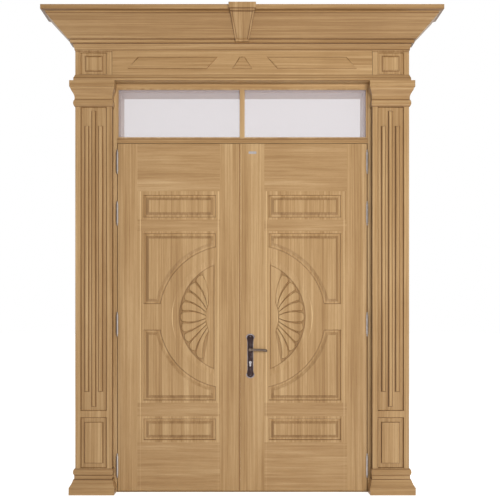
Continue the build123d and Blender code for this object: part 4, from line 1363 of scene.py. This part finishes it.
@dataclass
class Dresser:
    """Gives every solid its finish, with print settings in metres."""

    nodes: dict[str, bpy.types.Object]
    slots: dict[str, str]
    # Settings of every node whose name holds the key; a later row adds to an earlier one. Quirks, tapers,
    # walls, ribs, joints and a darker line tint place painted shade.
    prints: dict[str, dict[str, Any]] = field(
        default_factory=lambda: {
            "cornice": {"deepen": 0.07, "quirks": (2.808, 2.845, 2.868, 2.996, 3.009)},
            "cornice_front": {"grain": Grain.LEVEL},
            "cornice_return": {"grain": Grain.DEEP},
            "keystone": {
                "deepen": 0.05,
                "depth_share": 0.03,
                "quirks": (2.863, 2.999, 3.011),
                "taper": TaperShade(),
            },
            "frieze_panel": {"grain": Grain.LEVEL, "deepen": 0.03, "walls": (-0.0034, -0.0006)},
            "corner_block": {"walls": (0.0052, 0.0096), "quirks": (2.798,)},
            "foot_moulding": {"grain": Grain.LEVEL, "deepen": 0.05, "quirks": (2.612, 2.63, 2.651)},
            "capital": {"grain": Grain.LEVEL, "deepen": 0.045, "quirks": (2.452, 2.495)},
            "plinth": {"grain": Grain.LEVEL, "deepen": 0.045, "quirks": (0.095, 0.121, 0.161)},
            # The right pilaster's one-sided ribs and darker line tint are a painted shadow on its sides
            # away from the key lamp.
            "pilaster": {"deepen": 0.012, "walls": (0.0022, 0.0096)},
            "left_pilaster": {"ribs": RibShade()},
            "right_pilaster": {
                "ribs": RibShade(rib=(0.009, 0.0185), both_sides=False),
                "shade_line_tint": (0.24, 0.16, 0.09, 1.0),
            },
            # The frame head and the jambs take a lighter print that offsets the shade they stand in.
            "frame_head": {"grain": Grain.LEVEL, "deepen": -0.02},
            "transom_bar": {"grain": Grain.LEVEL, "deepen": 0.11, "quirks": (2.2595,)},
            "threshold": {"grain": Grain.LEVEL, "deepen": 0.05},
            "left_jamb": {"deepen": -0.03},
            # The right jamb's joint is a painted shadow line along the leaf.
            "right_jamb": {"deepen": -0.06, "joint": (0.8, 0.8052)},
            "skin": {"grain": Grain.LEAF},
        }
    )
    seed_step: float = 0.613

    def build(self, finishes: dict[str, bpy.types.Material]) -> None:
        """Assigns a material to every solid.

        Args:
            finishes: Material of each slot other than the print, or of a single node.
        """
        for index, (name, node) in enumerate(sorted(self.nodes.items())):
            slot = self.slots[name]
            material = finishes.get(name) or finishes.get(slot) or self._print(name, index)
            node.data.materials.clear()
            node.data.materials.append(material)
            LOG.info("%s takes %s", name, material.name)

    def _print(self, name: str, index: int) -> bpy.types.Material:
        """Makes the print of one piece, with its own board.

        Args:
            name: Node of the piece.
            index: Its number, which moves the board.

        Returns:
            The print.
        """
        settings = {}
        for kind, extra in self.prints.items():
            if kind in name:
                settings.update(extra)
        return WoodPrint(f"wood_{name}", seed=index * self.seed_step, **settings).build()


def door_finishes() -> dict[str, bpy.types.Material]:
    """Makes the finishes other than the print.

    Returns:
        Each material under its slot, its node or its place on the handles.
    """
    # Name, tone, worn tone, roughness and brush marks of each metal.
    metals = {
        "hinge_steel": ("satin_steel", (178, 172, 170), (206, 201, 199), 0.3, DRAWN_BRUSH),
        "lock_steel": ("lock_nickel", (180, 174, 174), (206, 201, 201), 0.26, DRAWN_BRUSH),
        "dark_bronze": ("dark_bronze", (54, 41, 40), (98, 86, 86), 0.3, CAST_BRUSH),
        # The rims of the handle plates are a paler metal than their middles.
        "handle_rim": ("rubbed_rim", (134, 124, 126), (182, 174, 176), 0.28, CAST_BRUSH),
        "handle_grip": ("rubbed_grip", (104, 89, 78), (156, 144, 134), 0.3, CAST_BRUSH),
    }
    # Name, tone, fleck, speckles per metre and roughness of each matt surface.
    matts = {
        "black_rubber": ("black_rubber", (24, 24, 25), (40, 40, 41), 900.0, 0.6),
        "core_board": ("core_board", (150, 126, 92), (176, 152, 116), 400.0, 0.8),
        "meeting_seal": ("brown_rubber", (138, 102, 65), (154, 117, 77), 900.0, 0.8),
    }
    kinds: dict[str, Finish] = {"clear_glass": Pane(), "zinc_steel": Galvanised()}
    for table, kind in ((metals, Metal), (matts, Matt)):
        for key, (name, tone, other, *rest) in table.items():
            kinds[key] = kind(name, swatch(*tone), swatch(*other), *rest)
    return {key: kind.build() for key, kind in kinds.items()}


def main() -> None:
    """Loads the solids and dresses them."""
    logging.basicConfig(level=logging.INFO, format="%(message)s")
    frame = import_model()
    bpy.context.scene.view_settings.view_transform = "Standard"
    finishes = door_finishes()
    slots = {row["node"]: row["material_slot"] for row in frame["record"]["subparts"]}
    Dresser(frame["nodes"], slots).build(finishes)
    handles = HandleSet(finishes["dark_bronze"], finishes["handle_rim"], finishes["handle_grip"])
    handles.build()
    SealLip(finishes["meeting_seal"]).build()
    HingeTips(finishes["hinge_steel"]).build()
    Badge(finishes["hinge_steel"]).build()
    Fasteners(finishes["lock_steel"], finishes["handle_rim"], handles).build()
    Studio().build()


if __name__ == "__main__":
    main()
